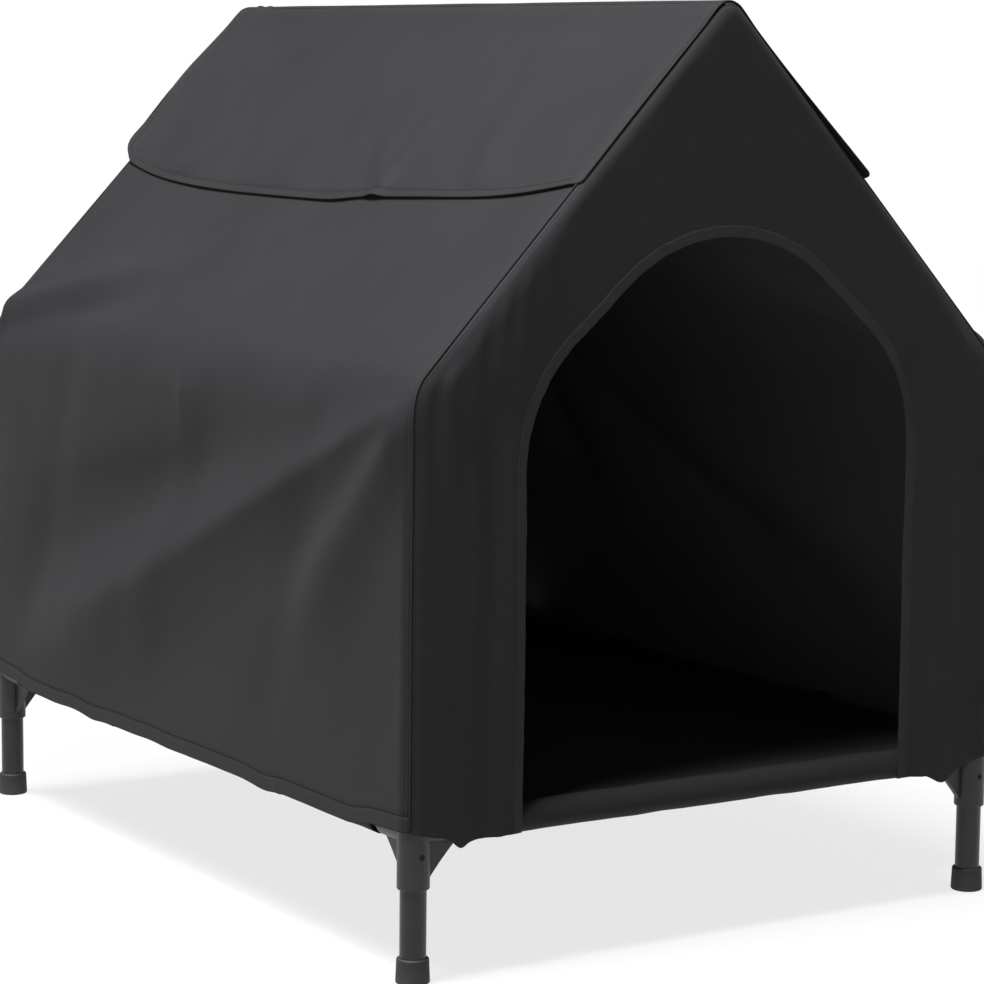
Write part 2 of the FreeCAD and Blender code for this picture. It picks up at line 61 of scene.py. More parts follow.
# %% Sizes of the frame and the cover
HALF_X = 0.334
HALF_Y = 0.4455
RAIL_Z = 0.145
EAVE_Z = 0.536
APEX_Z = 0.881
BEND_R = 0.057
PITCH = math.atan2(APEX_Z - EAVE_Z, HALF_X)
TURN = math.pi / 2 - PITCH
COVER_OUT = 0.017
CLOTH_T = 0.0011
FRONT_Y = -(HALF_Y + COVER_OUT)
WALL_SEAM_TURN = math.radians(47)
ROOF_SEAM_TURN = math.radians(27)
SEAM_Y = HALF_Y + COVER_OUT * WALL_SEAM_TURN
HEM_Z = 0.132
SIDE_HEM_Z = 0.1352
TAB_Y = 0.195
HEM_W = 0.015
SCOOP_RISE = 0.013
STEP = 0.0055
print("roof pitch in degrees:", round(math.degrees(PITCH), 2))

# %% [markdown]
# ## Camera
# The camera stands in front of the house and to its left, just below the height of the ridge. A long lens
# keeps the gables almost square. Its three axes are worked out from azimuth, elevation and a slight roll,
# and go straight into the matrix, so nothing has to be tracked or constrained.

# %% Camera at the photograph's viewing angle
AZIMUTH = math.radians(-32.6132)
ELEVATION = math.radians(7.7226)
ROLL = math.radians(0.5925)
EYE = Vector((-1.8274, -2.9068, 0.8474))
LENS_MM = 117.66

back = Vector((math.sin(AZIMUTH) * math.cos(ELEVATION), -math.cos(AZIMUTH) * math.cos(ELEVATION),
               math.sin(ELEVATION)))
level_right = (-back).cross(Vector((0, 0, 1))).normalized()
level_up = level_right.cross(-back)
right = math.cos(ROLL) * level_right + math.sin(ROLL) * level_up
up = math.cos(ROLL) * level_up - math.sin(ROLL) * level_right
bpy.ops.object.select_all(action="DESELECT")
bpy.ops.object.camera_add()
camera = bpy.context.object
camera.name = "photo_camera"
camera.matrix_world = Matrix.Translation(EYE) @ Matrix((right, up, back)).transposed().to_4x4()
camera.data.lens = LENS_MM
scene.camera = camera
print("camera at", [round(value, 3) for value in EYE])

# %% [markdown]
# ## Floor and light
# Black cloth only shows its folds when the light comes from one side. A wide sun, high and a little to
# the left, lights the roof most and the wall less. A square softbox high above the front left adds light
# that fades towards the rear. The floor is a light table: it glows, so the shadow on it stays pale. The
# sky is dim, with a band at the horizon in the floor's own tone, so that the floor has no visible end.

# %% Floor, sun, softbox and sky
FLOOR_SIDE = 240.0
SUN_PLACE = (-2, -1, 3)
SUN_DIRECTION = Vector((-0.27, 0.07, 0.96))
SUN_STRENGTH = 6.4
SUN_WIDTH = math.radians(26)
SUN_COLOUR = (0.985, 0.98, 1.03)
SOFTBOX_PLACE = Vector((-1.00, -0.67, 2.75))
SOFTBOX_AIM = Vector((-0.15, -0.15, 0.50))
SOFTBOX_SIDE = 0.55
SOFTBOX_WATTS = 98.0
TABLE_GLOW = 0.78
TABLE_TONE = 0.10
TABLE_VARY = 0.02
SKY_LOW = 1.01
SKY_HIGH = 0.16
SKY_BAND = 0.05
SKY_FADE = 0.16

scene.view_settings.view_transform = "Standard"
bpy.ops.object.select_all(action="DESELECT")
bpy.ops.mesh.primitive_plane_add(size=FLOOR_SIDE)
floor = bpy.context.object
floor.name = "studio_floor"
bpy.ops.object.light_add(type="SUN", location=SUN_PLACE)
sun = bpy.context.object
sun.rotation_euler = SUN_DIRECTION.to_track_quat("Z", "Y").to_euler()
sun.data.energy = SUN_STRENGTH
sun.data.angle = SUN_WIDTH
sun.data.color = SUN_COLOUR
bpy.ops.object.light_add(type="AREA", location=SOFTBOX_PLACE)
softbox = bpy.context.object
softbox.rotation_euler = (SOFTBOX_PLACE - SOFTBOX_AIM).to_track_quat("Z", "Y").to_euler()
softbox.data.shape = "SQUARE"
softbox.data.size = SOFTBOX_SIDE
softbox.data.energy = SOFTBOX_WATTS
softbox.visible_camera = False
print("sun direction", [round(value, 2) for value in SUN_DIRECTION])

# %% [markdown]
# ## Shader maths
# A material is a graph of nodes. Writing it as Python expressions keeps it readable: the class wraps one
# socket, its operators add Math nodes, and its method `node` adds any kind of node.

# %% The socket class


class Wire:
    """One output socket of a node tree, with arithmetic that adds Math nodes."""

    def __init__(self, tree, socket=None):
        self.tree = tree
        self.socket = socket

    def node(self, kind, settings=(), inputs=(), output=0):
        """Add a node, fill its settings and inputs, and give back one of its outputs."""
        made = self.tree.nodes.new("ShaderNode" + kind)
        for name, value in dict(settings).items():
            if name == "stops":
                while len(made.color_ramp.elements) < len(value):
                    made.color_ramp.elements.new(1.0)
                for element, (position, grey) in zip(made.color_ramp.elements, value):
                    element.position = position
                    element.color = (grey, grey, grey, 1)
            else:
                setattr(made, name, value)
        for name, value in dict(inputs).items():
            if isinstance(value, Wire):
                self.tree.links.new(value.socket, made.inputs[name])
            else:
                made.inputs[name].default_value = value
        return Wire(self.tree, made.outputs[output]) if made.outputs else None

    def other(self, output):
        """Another output of the same node."""
        return Wire(self.tree, self.socket.node.outputs[output])

    def math(self, operation, first, second=0.0):
        return self.node("Math", {"operation": operation}, {0: first, 1: second})

    def __add__(self, value):
        return self.math("ADD", self, value)

    __radd__ = __add__

    def __sub__(self, value):
        return self.math("SUBTRACT", self, value)

    def __rsub__(self, value):
        return self.math("SUBTRACT", value, self)

    def __mul__(self, value):
        return self.math("MULTIPLY", self, value)

    __rmul__ = __mul__

    def sine(self):
        return self.math("SINE", self)

    def power(self, value):
        return self.math("POWER", self, value)

    def clamped(self):
        return self.node("Clamp", inputs={"Value": self})

    def above(self, value):
        return self.math("GREATER_THAN", self, value)


def new_material(name):
    material = bpy.data.materials.new(name)
    material.use_nodes = True
    material.node_tree.nodes.clear()
    return material, Wire(material.node_tree)


def surface(wire, colour, roughness, constants, bump=None, strength=0.3, distance=0.0003, alpha=None):
    """Join a colour, a roughness and a bump height to one Principled shader and the material's output."""
    inputs = {"Base Color": colour, "Roughness": roughness}
    if bump is not None:
        relief = {"Strength": strength, "Distance": distance, "Height": bump}
        inputs["Normal"] = wire.node("Bump", inputs=relief)
    if alpha is not None:
        inputs["Alpha"] = alpha
    inputs.update(constants)
    shader = wire.node("BsdfPrincipled", inputs=inputs)
    wire.node("OutputMaterial", inputs={"Surface": shader})


def noise(wire, place, scale, detail=2.0, roughness=0.5):
    inputs = {"Vector": place, "Scale": scale, "Detail": detail, "Roughness": roughness}
    return wire.node("TexNoise", inputs=inputs)


def greys(wire, mask, low, high):
    """A colour between two tones by a mask from 0 to 1. A Mix node's colours are its inputs 6 and 7 and its
    output 2."""
    return wire.node("Mix", {"data_type": "RGBA"}, {0: mask, 6: (*low, 1), 7: (*high, 1)}, output=2)


def varied(mask, least, spread):
    """A roughness that rises by spread from its least value as a mask goes from 0 to 1."""
    return least + spread * mask


print("shader maths ready")

# %% [markdown]
# ## Cloth finishes
# The cover is a coated Oxford weave: a dull black with a fine speckle of lighter threads. Its warp and
# weft come from two sine waves on the UV map, which is laid out in metres on the large cloths. Slow noise
# on Object coordinates keeps large areas from looking like one flat colour. The inside has a coating painted
# paler as painted light for the shaded inside, and the mat is painted paler in the middle as painted light.

# %% Cloth, tape, mesh and thread materials
THREAD_PITCH = 0.0009
TAPE_PITCH = 0.0014
MAT_PITCH = 0.0016
SPECKLE_SHARE = 1.1
PATCH_SHARE = 0.45
WEAVE_SHARE = 0.10
FLUFF_SHARE = 0.5
FLUFF_POWER = 6.0
MASK_FLOOR = 0.35
PATCH_ROUGH = 0.12
WEAVE_ROUGH = 0.06
SPECKLE_BUMP = 1.2
# Painted light on the mat: the share of its pale tone kept beside the rails, and how fast it grows towards
# the shaded middle.
RAIL_PAINTED_LIGHT = 0.22
PAINTED_LIGHT_POWER = 1.5
MESH_CELL = 0.0026
MESH_OPEN = 0.42


def weave_height(wire, pitch):
    """Relief of a plain weave on the UV map, from -1 to 1."""
    place = wire.node("SeparateXYZ", inputs={0: wire.node("TexCoord", output="UV")})
    turns = 2 * math.pi / pitch
    return (place * turns).sine() * (place.other("Y") * turns).sine()


def painted_light_share(wire, place):
    """A share for the mat's mask: small beside the rails, 1 in the middle. It is painted light, which makes
    the shaded middle of the mat paler.
    """
    level = wire.node("SeparateXYZ", inputs={0: place})
    across = 1 - level * level * (1 / HALF_X ** 2)
    along = 1 - level.other("Y") * level.other("Y") * (1 / HALF_Y ** 2)
    return RAIL_PAINTED_LIGHT + (1 - RAIL_PAINTED_LIGHT) * (across.clamped() * along.clamped()).power(PAINTED_LIGHT_POWER)


def cloth_material(name, low, high, pitch, rough, gloss, sheen, wear_and_painted_light=None):
    """A woven finish between two tones. Its last argument gives the share of its mask that each place keeps;
    on the mat this is painted light.
    """
    material, wire = new_material(name)
    place = wire.node("TexCoord", output="Object")
    weave = weave_height(wire, pitch)
    speckle = noise(wire, place, scale=700.0, detail=3.0, roughness=0.7)
    patches = noise(wire, place, scale=7.0, detail=4.0, roughness=0.55)
    fluff = noise(wire, place, scale=160.0, detail=1.0).power(FLUFF_POWER)
    mask = SPECKLE_SHARE * speckle + PATCH_SHARE * patches + WEAVE_SHARE * weave + FLUFF_SHARE * fluff
    mask = (mask - MASK_FLOOR).clamped()
    if wear_and_painted_light is not None:
        mask = mask * wear_and_painted_light(wire, place)
    colour = greys(wire, mask, low, high)
    roughness = (rough + PATCH_ROUGH * patches - WEAVE_ROUGH * weave).clamped()
    constants = {"Sheen Weight": sheen, "Sheen Roughness": 0.45, "Specular IOR Level": gloss}
    surface(wire, colour, roughness, constants, bump=weave + SPECKLE_BUMP * speckle, strength=0.35,
            distance=0.00025)
    return material


cover_finish = cloth_material("black_oxford_cloth", low=(0.0056, 0.0056, 0.0065),
                              high=(0.0179, 0.0179, 0.0190), pitch=THREAD_PITCH, rough=0.60, gloss=0.13,
                              sheen=0.02)
# The inside's coating is painted paler than the cover: painted light for the inner faces, which lie in shade.
inside_painted_light_finish = cloth_material("coated_inside_painted_light", low=(0.050, 0.050, 0.052), high=(0.095, 0.095, 0.098),
                               pitch=THREAD_PITCH, rough=0.62, gloss=0.10, sheen=0.0)
tape_finish = cloth_material("binding_tape", low=(0.008, 0.008, 0.009), high=(0.022, 0.022, 0.023),
                             pitch=TAPE_PITCH, rough=0.58, gloss=0.15, sheen=0.02)
# The mat's paler middle is painted light: beside the rails its mask keeps only a small share, so the shaded
# middle inside the house is paler.
mat_finish = cloth_material("sling_mat_cloth", low=(0.008, 0.008, 0.009), high=(0.070, 0.070, 0.072),
                            pitch=MAT_PITCH, rough=0.66, gloss=0.10, sheen=0.02, wear_and_painted_light=painted_light_share)


def thread_material():
    material, wire = new_material("sewing_thread")
    place = wire.node("TexCoord", output="Object")
    twist = noise(wire, place, scale=1800.0, detail=1.0)
    colour = greys(wire, twist, low=(0.003, 0.003, 0.003), high=(0.010, 0.010, 0.011))
    roughness = varied(twist, least=0.5, spread=0.2)
    surface(wire, colour, roughness, {"Specular IOR Level": 0.15}, bump=twist, strength=0.4, distance=0.0001)
    return material


def mesh_material():
    """Knitted vent mesh: dark yarn with open cells, cut out by the alpha socket."""
    material, wire = new_material("vent_mesh_yarn")
    place = wire.node("SeparateXYZ", inputs={0: wire.node("TexCoord", output="UV")})
    turns = math.pi / MESH_CELL
    cell = (place * turns).sine().power(2.0) * (place.other("Y") * turns).sine().power(2.0)
    yarn = 1 - cell.above(MESH_OPEN)
    speckle = noise(wire, wire.node("TexCoord", output="Object"), scale=900.0)
    colour = greys(wire, speckle, low=(0.012, 0.012, 0.013), high=(0.045, 0.045, 0.048))
    roughness = varied(speckle, least=0.6, spread=0.2)
    surface(wire, colour, roughness, {"Specular IOR Level": 0.3}, bump=1 - cell, strength=0.5,
            distance=0.0004, alpha=yarn)
    return material


thread_finish = thread_material()
mesh_finish = mesh_material()
print("cloth finishes:", [m.name for m in (cover_finish, inside_painted_light_finish, tape_finish, mat_finish)])

# %% [markdown]
# ## Finishes of the rigid parts
# The tubes have a satin powder coat with a faint orange peel, the connectors are moulded plastic with a
# fine grain, the feet are dull rubber that picks up dust near the floor, and the screws are blackened
# steel.

# %% Powder coat, plastic, rubber and steel
COAT_PATCHES = 0.6
COAT_PEEL = 0.4
MOULD_PATCHES = 0.5
MOULD_GRAIN = 0.3
MOULD_SCUFFS = 2.0
SCUFF_POWER = 5.0
RUBBER_GRAIN = 0.45
RUBBER_DUST = 0.7
DUST_FALL = 45.0


def coated_tube_material():
    material, wire = new_material("satin_powder_coat")
    place = wire.node("TexCoord", output="Object")
    peel = noise(wire, place, scale=420.0, detail=2.0)
    patches = noise(wire, place, scale=18.0, detail=3.0)
    mask = (COAT_PATCHES * patches + COAT_PEEL * peel).clamped()
    colour = greys(wire, mask, low=(0.005, 0.005, 0.006), high=(0.014, 0.014, 0.015))
    roughness = varied(patches, least=0.28, spread=0.16)
    surface(wire, colour, roughness, {"Specular IOR Level": 0.36}, bump=peel, strength=0.12)
    return material


def moulded_material():
    material, wire = new_material("moulded_black_plastic")
    place = wire.node("TexCoord", output="Object")
    grain = noise(wire, place, scale=1500.0, detail=2.0)
    patches = noise(wire, place, scale=30.0, detail=3.0)
    scuff = noise(wire, place, scale=90.0, detail=4.0, roughness=0.7).power(SCUFF_POWER)
    mask = (MOULD_PATCHES * patches + MOULD_GRAIN * grain + MOULD_SCUFFS * scuff).clamped()
    colour = greys(wire, mask, low=(0.005, 0.005, 0.006), high=(0.018, 0.018, 0.019))
    roughness = varied(patches, least=0.32, spread=0.2)
    surface(wire, colour, roughness, {"Specular IOR Level": 0.38}, bump=grain, strength=0.15, distance=0.0002)
    return material


def rubber_material():
    material, wire = new_material("foot_rubber")
    place = wire.node("TexCoord", output="Object")
    height = wire.node("SeparateXYZ", inputs={0: place}).other("Z")
    grain = noise(wire, place, scale=900.0, detail=3.0)
    dust = (1 - height * DUST_FALL).clamped() * noise(wire, place, scale=60.0, detail=4.0)
    mask = (RUBBER_GRAIN * grain + RUBBER_DUST * dust).clamped()
    colour = greys(wire, mask, low=(0.010, 0.010, 0.011), high=(0.040, 0.039, 0.038))
    roughness = varied(grain, least=0.58, spread=0.2)
    surface(wire, colour, roughness, {"Specular IOR Level": 0.3}, bump=grain, strength=0.2)
    return material


def screw_material():
    material, wire = new_material("blackened_steel")
    place = wire.node("TexCoord", output="Object")
    wear_and_painted_light = noise(wire, place, scale=700.0, detail=3.0)
    colour = greys(wire, wear_and_painted_light, low=(0.004, 0.004, 0.004), high=(0.016, 0.016, 0.016))
    surface(wire, colour, varied(wear_and_painted_light, least=0.45, spread=0.25), {"Specular IOR Level": 0.2})
    return material


def floor_material():
    material, wire = new_material("studio_floor_paint")
    tone = noise(wire, wire.node("TexCoord", output="Object"), scale=0.35, detail=2.0)
    low = ((1 - TABLE_VARY) * TABLE_TONE,) * 3
    high = ((1 + TABLE_VARY) * TABLE_TONE,) * 3
    glow = {"Specular IOR Level": 0.1, "Emission Color": (1, 1, 1, 1), "Emission Strength": TABLE_GLOW}
    surface(wire, greys(wire, tone, low, high), varied(tone, least=0.8, spread=0.1), glow)
    return material


def sky():
    world = bpy.data.worlds.new("studio_sky")
    scene.world = world
    world.use_nodes = True
    world.node_tree.nodes.clear()
    wire = Wire(world.node_tree)
    height = wire.node("SeparateXYZ", inputs={0: wire.node("TexCoord")}).other("Z")
    stops = ((0.0, SKY_LOW), (SKY_BAND, SKY_LOW), (SKY_FADE, SKY_HIGH), (1.0, SKY_HIGH))
    grey = wire.node("ValToRGB", {"stops": stops}, {"Fac": height})
    shader = wire.node("Background", inputs={"Color": grey, "Strength": 1.0})
    wire.node("OutputWorld", inputs={"Surface": shader})


def dress(finish, starts):
    """Give a finish to every CAD node whose name begins with one of these words."""
    dressed = [node for name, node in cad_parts.items() if name.startswith(starts)]
    for node in dressed:
        node.data.materials.clear()
        node.data.materials.append(finish)
    print(finish.name, "on", len(dressed), "nodes")


sky()
floor.data.materials.append(floor_material())
dress(coated_tube_material(), ("leg_front", "leg_rear", "gable_tube", "ridge_tube", "rail"))
dress(moulded_material(), ("connector", "apex_connector"))
dress(rubber_material(), ("foot",))
dress(screw_material(), ("leg_screws",))

# %% [markdown]
# ## Cloth from a grid
# Each panel starts as a flat grid with as many faces as the cloth needs. The grid's own columns and rows
# are then laid on the panel's shape, which a function gives for every place on the cloth. That keeps the
# cloth in clean quads, gives the large cloths a UV map in real metres, and lets a hem or a seam have
# finer rows than the plain cloth. Solidify adds the thickness inwards, and the inside gets its own coated
# finish, painted paler as painted light for the shaded inside.

# %% Cloth helpers
WAVE_SHARES = (0.5, 0.3, 0.2)
WAVE_STEP = 0.71
WAVE_PHASE = 1.7
FOLD_LEAD = 0.02
HEM_RAMP = 0.0008
GROOVE_W = 0.0007
NORMAL_NUDGE = 0.0008
MERGE_WITHIN = 0.0001
ROUNDING = 1e-6
LEAST_NORMAL = 1e-12


def spaced(stops, step):
    """Rising numbers that hold every stop, with no gap wider than step."""
    runs = []
    for start, end in zip(stops[:-1], stops[1:]):
        count = max(1, math.ceil((end - start) / step - ROUNDING))
        runs.append(np.linspace(start, end, count + 1)[:-1])
    return np.concatenate(runs + [[stops[-1]]])


def smooth_step(low, high, value):
    """0 at low, 1 at high, and a soft rise between them."""
    share = np.clip((value - low) / (high - low), 0, 1)
    return share * share * (3 - 2 * share)


def bump_at(value, centre, width):
    return np.exp(-((value - centre) / width) ** 2)


def waves(value, length, seed):
    """A smooth uneven wave from -1 to 1, the same every run."""
    total = np.zeros_like(np.asarray(value, float))
    for order, share in enumerate(WAVE_SHARES):
        turns = 2 * math.pi * value / length * (1 + WAVE_STEP * order)
        total += share * np.sin(turns + WAVE_PHASE * seed * (order + 1))
    return total


def fold(a, b, start, end, height, before, after, spread, fade_in, fade_out):
    """Height of a fold whose crest runs from start to end on the cloth's (a, b) plane.
    before and after are its widths on the two sides of the crest. Height and widths grow along it by
    spread, and fade_in and fade_out are the shares of its length over which it comes and goes."""
    run = np.array(end) - np.array(start)
    length = np.hypot(*run)
    run = run / length
    share = ((a - start[0]) * run[0] + (b - start[1]) * run[1]) / length
    side = (a - start[0]) * run[1] - (b - start[1]) * run[0]
    grow = 1 + spread * np.clip(share, 0, 1)
    width = np.where(side < 0, before, after) * grow
    strength = smooth_step(-FOLD_LEAD, fade_in, share) * (1 - smooth_step(1 - fade_out, 1.0, share))
    return height * grow / (1 + spread) * strength * np.exp(-(side / width) ** 2)


def all_folds(a, b, rows):
    """Height of all the folds of a cloth. A row holds what fold takes from start to fade_out."""
    return sum(fold(a, b, *row) for row in rows)


def hem_relief(distance, width, height=0.0006, groove=0.0009):
    """Raised doubled cloth of a hem or seam, with the thread's groove at its inner edge."""
    band = height * smooth_step(width + HEM_RAMP, width - HEM_RAMP, distance)
    return band - groove * bump_at(distance, width, GROOVE_W)


def outward_normals(place, a, b):
    across = place(a + NORMAL_NUDGE, b) - place(a - NORMAL_NUDGE, b)
    down = place(a, b + NORMAL_NUDGE) - place(a, b - NORMAL_NUDGE)
    normal = np.cross(across, down)
    return normal / np.maximum(np.linalg.norm(normal, axis=1, keepdims=True), LEAST_NORMAL)


def make_cloth(name, columns, rows, place, facing, thickness=CLOTH_T, hole=None, finishes=None, merge=False,
               layout=None):
    """A cloth piece from a grid. place gives the outer face, facing a direction on its outer side, and layout
    the UV map where the grid's own columns and rows don't serve as one."""
    bpy.ops.object.select_all(action="DESELECT")
    bpy.ops.mesh.primitive_grid_add(x_subdivisions=len(columns) - 1, y_subdivisions=len(rows) - 1, size=2)
    cloth = bpy.context.object
    cloth.name = name
    mesh = cloth.data
    mesh.name = name
    flat = np.zeros(len(mesh.vertices) * 3, np.float32)
    mesh.vertices.foreach_get("co", flat)
    flat = flat.reshape(-1, 3)
    a = columns[np.rint((flat[:, 0] + 1) / 2 * (len(columns) - 1)).astype(int)]
    b = rows[np.rint((flat[:, 1] + 1) / 2 * (len(rows) - 1)).astype(int)]
    points = place(a, b)
    mesh.vertices.foreach_set("co", points.astype(np.float32).ravel())
    spread = np.stack([a, b], 1) if layout is None else layout(points)
    corners = np.zeros(len(mesh.loops), np.int32)
    mesh.loops.foreach_get("vertex_index", corners)
    mesh.uv_layers.active.data.foreach_set("uv", spread[corners].astype(np.float32).ravel())
    mesh.update()
    if hole is not None:
        cells = [list(p.vertices) for p in mesh.polygons]
        middles = np.array([(np.mean(a[cell]), np.mean(b[cell])) for cell in cells])
        inside = hole(middles[:, 0], middles[:, 1])
        bpy.ops.object.mode_set(mode="EDIT")
        bpy.ops.mesh.select_all(action="DESELECT")
        bpy.ops.object.mode_set(mode="OBJECT")
        mesh.polygons.foreach_set("select", inside)
        bpy.ops.object.mode_set(mode="EDIT")
        bpy.ops.mesh.delete(type="FACE")
        bpy.ops.object.mode_set(mode="OBJECT")
    normals = np.zeros(len(mesh.polygons) * 3, np.float32)
    centres = np.zeros(len(mesh.polygons) * 3, np.float32)
    mesh.polygons.foreach_get("normal", normals)
    mesh.polygons.foreach_get("center", centres)
    toward = facing(centres.reshape(-1, 3)) if callable(facing) else np.array(facing)
    turned = np.sum(normals.reshape(-1, 3) * toward) < 0
    bpy.ops.object.mode_set(mode="EDIT")
    bpy.ops.mesh.select_all(action="SELECT")
    if merge:
        bpy.ops.mesh.remove_doubles(threshold=MERGE_WITHIN)
    if turned:
        bpy.ops.mesh.flip_normals()
    bpy.ops.object.mode_set(mode="OBJECT")
    # By default the inner faces take the paler inside finish, which is painted light.
    for finish in finishes or (cover_finish, inside_painted_light_finish):
        mesh.materials.append(finish)
    if thickness is not None:
        wall = cloth.modifiers.new("cloth_thickness", "SOLIDIFY")
        wall.thickness = thickness
        wall.offset = -1
        wall.material_offset = 1
        bpy.ops.object.modifier_apply(modifier=wall.name)
    bpy.ops.object.shade_smooth()
    print(name, len(mesh.polygons), "faces")
    return cloth


def settle(piece, body, nodes=()):
    """Let a piece move with its body and stand for its CAD nodes."""
    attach(piece, body)
    if nodes:
        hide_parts(*nodes)


print("cloth helpers ready")

# %% [markdown]
# ## Stitches
# A sewn line is a row of short threads that lie in the cloth. One stitch is modelled from a small sphere,
# drawn out to a grain of rice with two dozen faces, and copied along every seam into one mesh for each
# cloth.

# %% One stitch, and lines of them
STITCH_LENGTH = 0.0034
STITCH_PITCH = 0.0044
STITCH_WIDTH = 0.0010
STITCH_HEIGHT = 0.0006

bpy.ops.object.select_all(action="DESELECT")
bpy.ops.mesh.primitive_uv_sphere_add(segments=6, ring_count=4, radius=0.5, rotation=(0, math.pi / 2, 0))
pattern = bpy.context.object
bpy.ops.object.transform_apply(location=True, rotation=True, scale=True)
pattern.scale = (STITCH_LENGTH, STITCH_WIDTH, STITCH_HEIGHT)
bpy.ops.object.transform_apply(location=True, rotation=True, scale=True)
stitch_points = np.array([v.co for v in pattern.data.vertices])
stitch_faces = [list(p.vertices) for p in pattern.data.polygons]
bpy.data.objects.remove(pattern)


def read_line(stops, along, values):
    """Values at some lengths along a line, axis by axis."""
    return np.stack([np.interp(stops, along, values[:, axis]) for axis in range(3)], 1)


def sew(name, lines):
    """Lines of stitches as one piece. Each line is its points and the cloth's normals there."""
    points = []
    faces = []
    for line, normals in lines:
        along = np.concatenate([[0], np.cumsum(np.linalg.norm(np.diff(line, axis=0), axis=1))])
        stops = np.arange(STITCH_PITCH / 2, along[-1], STITCH_PITCH)
        middle = read_line(stops, along, line)
        half = STITCH_LENGTH / 2
        tangent = read_line(stops + half, along, line) - read_line(stops - half, along, line)
        tangent /= np.linalg.norm(tangent, axis=1, keepdims=True)
        normal = read_line(stops, along, normals)
        normal -= tangent * np.sum(normal * tangent, axis=1, keepdims=True)
        normal /= np.linalg.norm(normal, axis=1, keepdims=True)
        side = np.cross(normal, tangent)
        for centre, x_dir, y_dir, z_dir in zip(middle, tangent, side, normal):
            first = len(points) * len(stitch_points)
            points.append(centre + stitch_points @ np.stack([x_dir, y_dir, z_dir]))
            faces += [[first + k for k in face] for face in stitch_faces]
    mesh = bpy.data.meshes.new(name)
    mesh.from_pydata(np.concatenate(points).tolist(), [], faces)
    mesh.materials.append(thread_finish)
    stitches = bpy.data.objects.new(name, mesh)
    scene.collection.objects.link(stitches)
    bpy.ops.object.select_all(action="DESELECT")
    bpy.context.view_layer.objects.active = stitches
    stitches.select_set(True)
    bpy.ops.object.shade_smooth()
    print(name, len(points), "stitches")
    return stitches


def sewn_line(place, a, b, lift=0.0001):
    """Points and normals along a line on a cloth, a little above its face. a or b may be one number."""
    a, b = np.broadcast_arrays(np.asarray(a, float), np.asarray(b, float))
    normals = outward_normals(place, a, b)
    return place(a, b) + normals * lift, normals


print("one stitch has", len(stitch_faces), "faces")

# %% [markdown]
# ## Walls and roof
# Each side of the cover is one long cloth: from the ridge down the slope, round the eave bend and down
# the wall. Beside the gable frames it is stretched over the bent tubes, and between them nothing holds
# it, so the eave softens and the cloth sags a little. The drag folds that run down from the eave's corner
# are added as crests with a steep and a gentle side, because that is how light picks them out on the real
# cover.

# %% Section of a side panel
EAVE_SOFTEN = 0.014
ROOF_SAG = 0.005
WALL_SAG = 0.0045
SAG_REACH = 0.230
HELD_Y = 0.425
DRAPE_POWER = 2.28
DRAPE_SOFT = 0.06
HEM_RISE = 0.0062
HEM_RISE_SPAN = (0.350, 0.405)
HEM_TIP_RISE = 0.0036
HEM_TIP_SPAN = (0.40, SEAM_Y)
HEM_WAVE = 0.0008
TAB_SAG = 0.0025
TAB_SAG_W = 0.024
RIDGE_ARC = COVER_OUT * PITCH
TANGENT = math.tan(TURN / 2)
SLOPE_LENGTH = math.hypot(HALF_X, APEX_Z - EAVE_Z)
FIXED_TOP = 0.250
PAST_HEM = 1.05


def seam_turn(rafter):
    """How far round the gable tube the seam sits: in front beside the wall, nearer the top on the rafter."""
    return WALL_SEAM_TURN + (ROOF_SEAM_TURN - WALL_SEAM_TURN) * smooth_step(0.0, 1.0, rafter)


def drape_at(y):
    """0 at the gable frames, 1 half way between them."""
    raw = np.maximum(0, 1 - (np.abs(y) / HELD_Y) ** DRAPE_POWER)
    return raw * raw / (raw + DRAPE_SOFT) * (1 + DRAPE_SOFT)


def hem_height(y):
    """Height of the side hem, which rises to its corners and dips at the tabs."""
    off = np.abs(y)
    corner = HEM_RISE * smooth_step(*HEM_RISE_SPAN, off) + HEM_TIP_RISE * smooth_step(*HEM_TIP_SPAN, off)
    tabs = TAB_SAG * bump_at(off, TAB_Y, TAB_SAG_W)
    return SIDE_HEM_Z + corner - tabs + HEM_WAVE * waves(y, length=0.16, seed=3)


def side_lengths(y):
    """Slope, outer bend radius and full length of the cloth's section at y."""
    bend = BEND_R + EAVE_SOFTEN * drape_at(y)
    slope = SLOPE_LENGTH - bend * TANGENT
    centre_z = EAVE_Z - bend * TANGENT
    full = RIDGE_ARC + slope + (bend + COVER_OUT) * TURN + centre_z - hem_height(y)
    return slope, bend + COVER_OUT, full


GABLE_Y = np.array([HELD_Y])
SIDE_LENGTH = float(side_lengths(GABLE_Y)[2][0] + hem_height(GABLE_Y)[0] - HEM_Z)


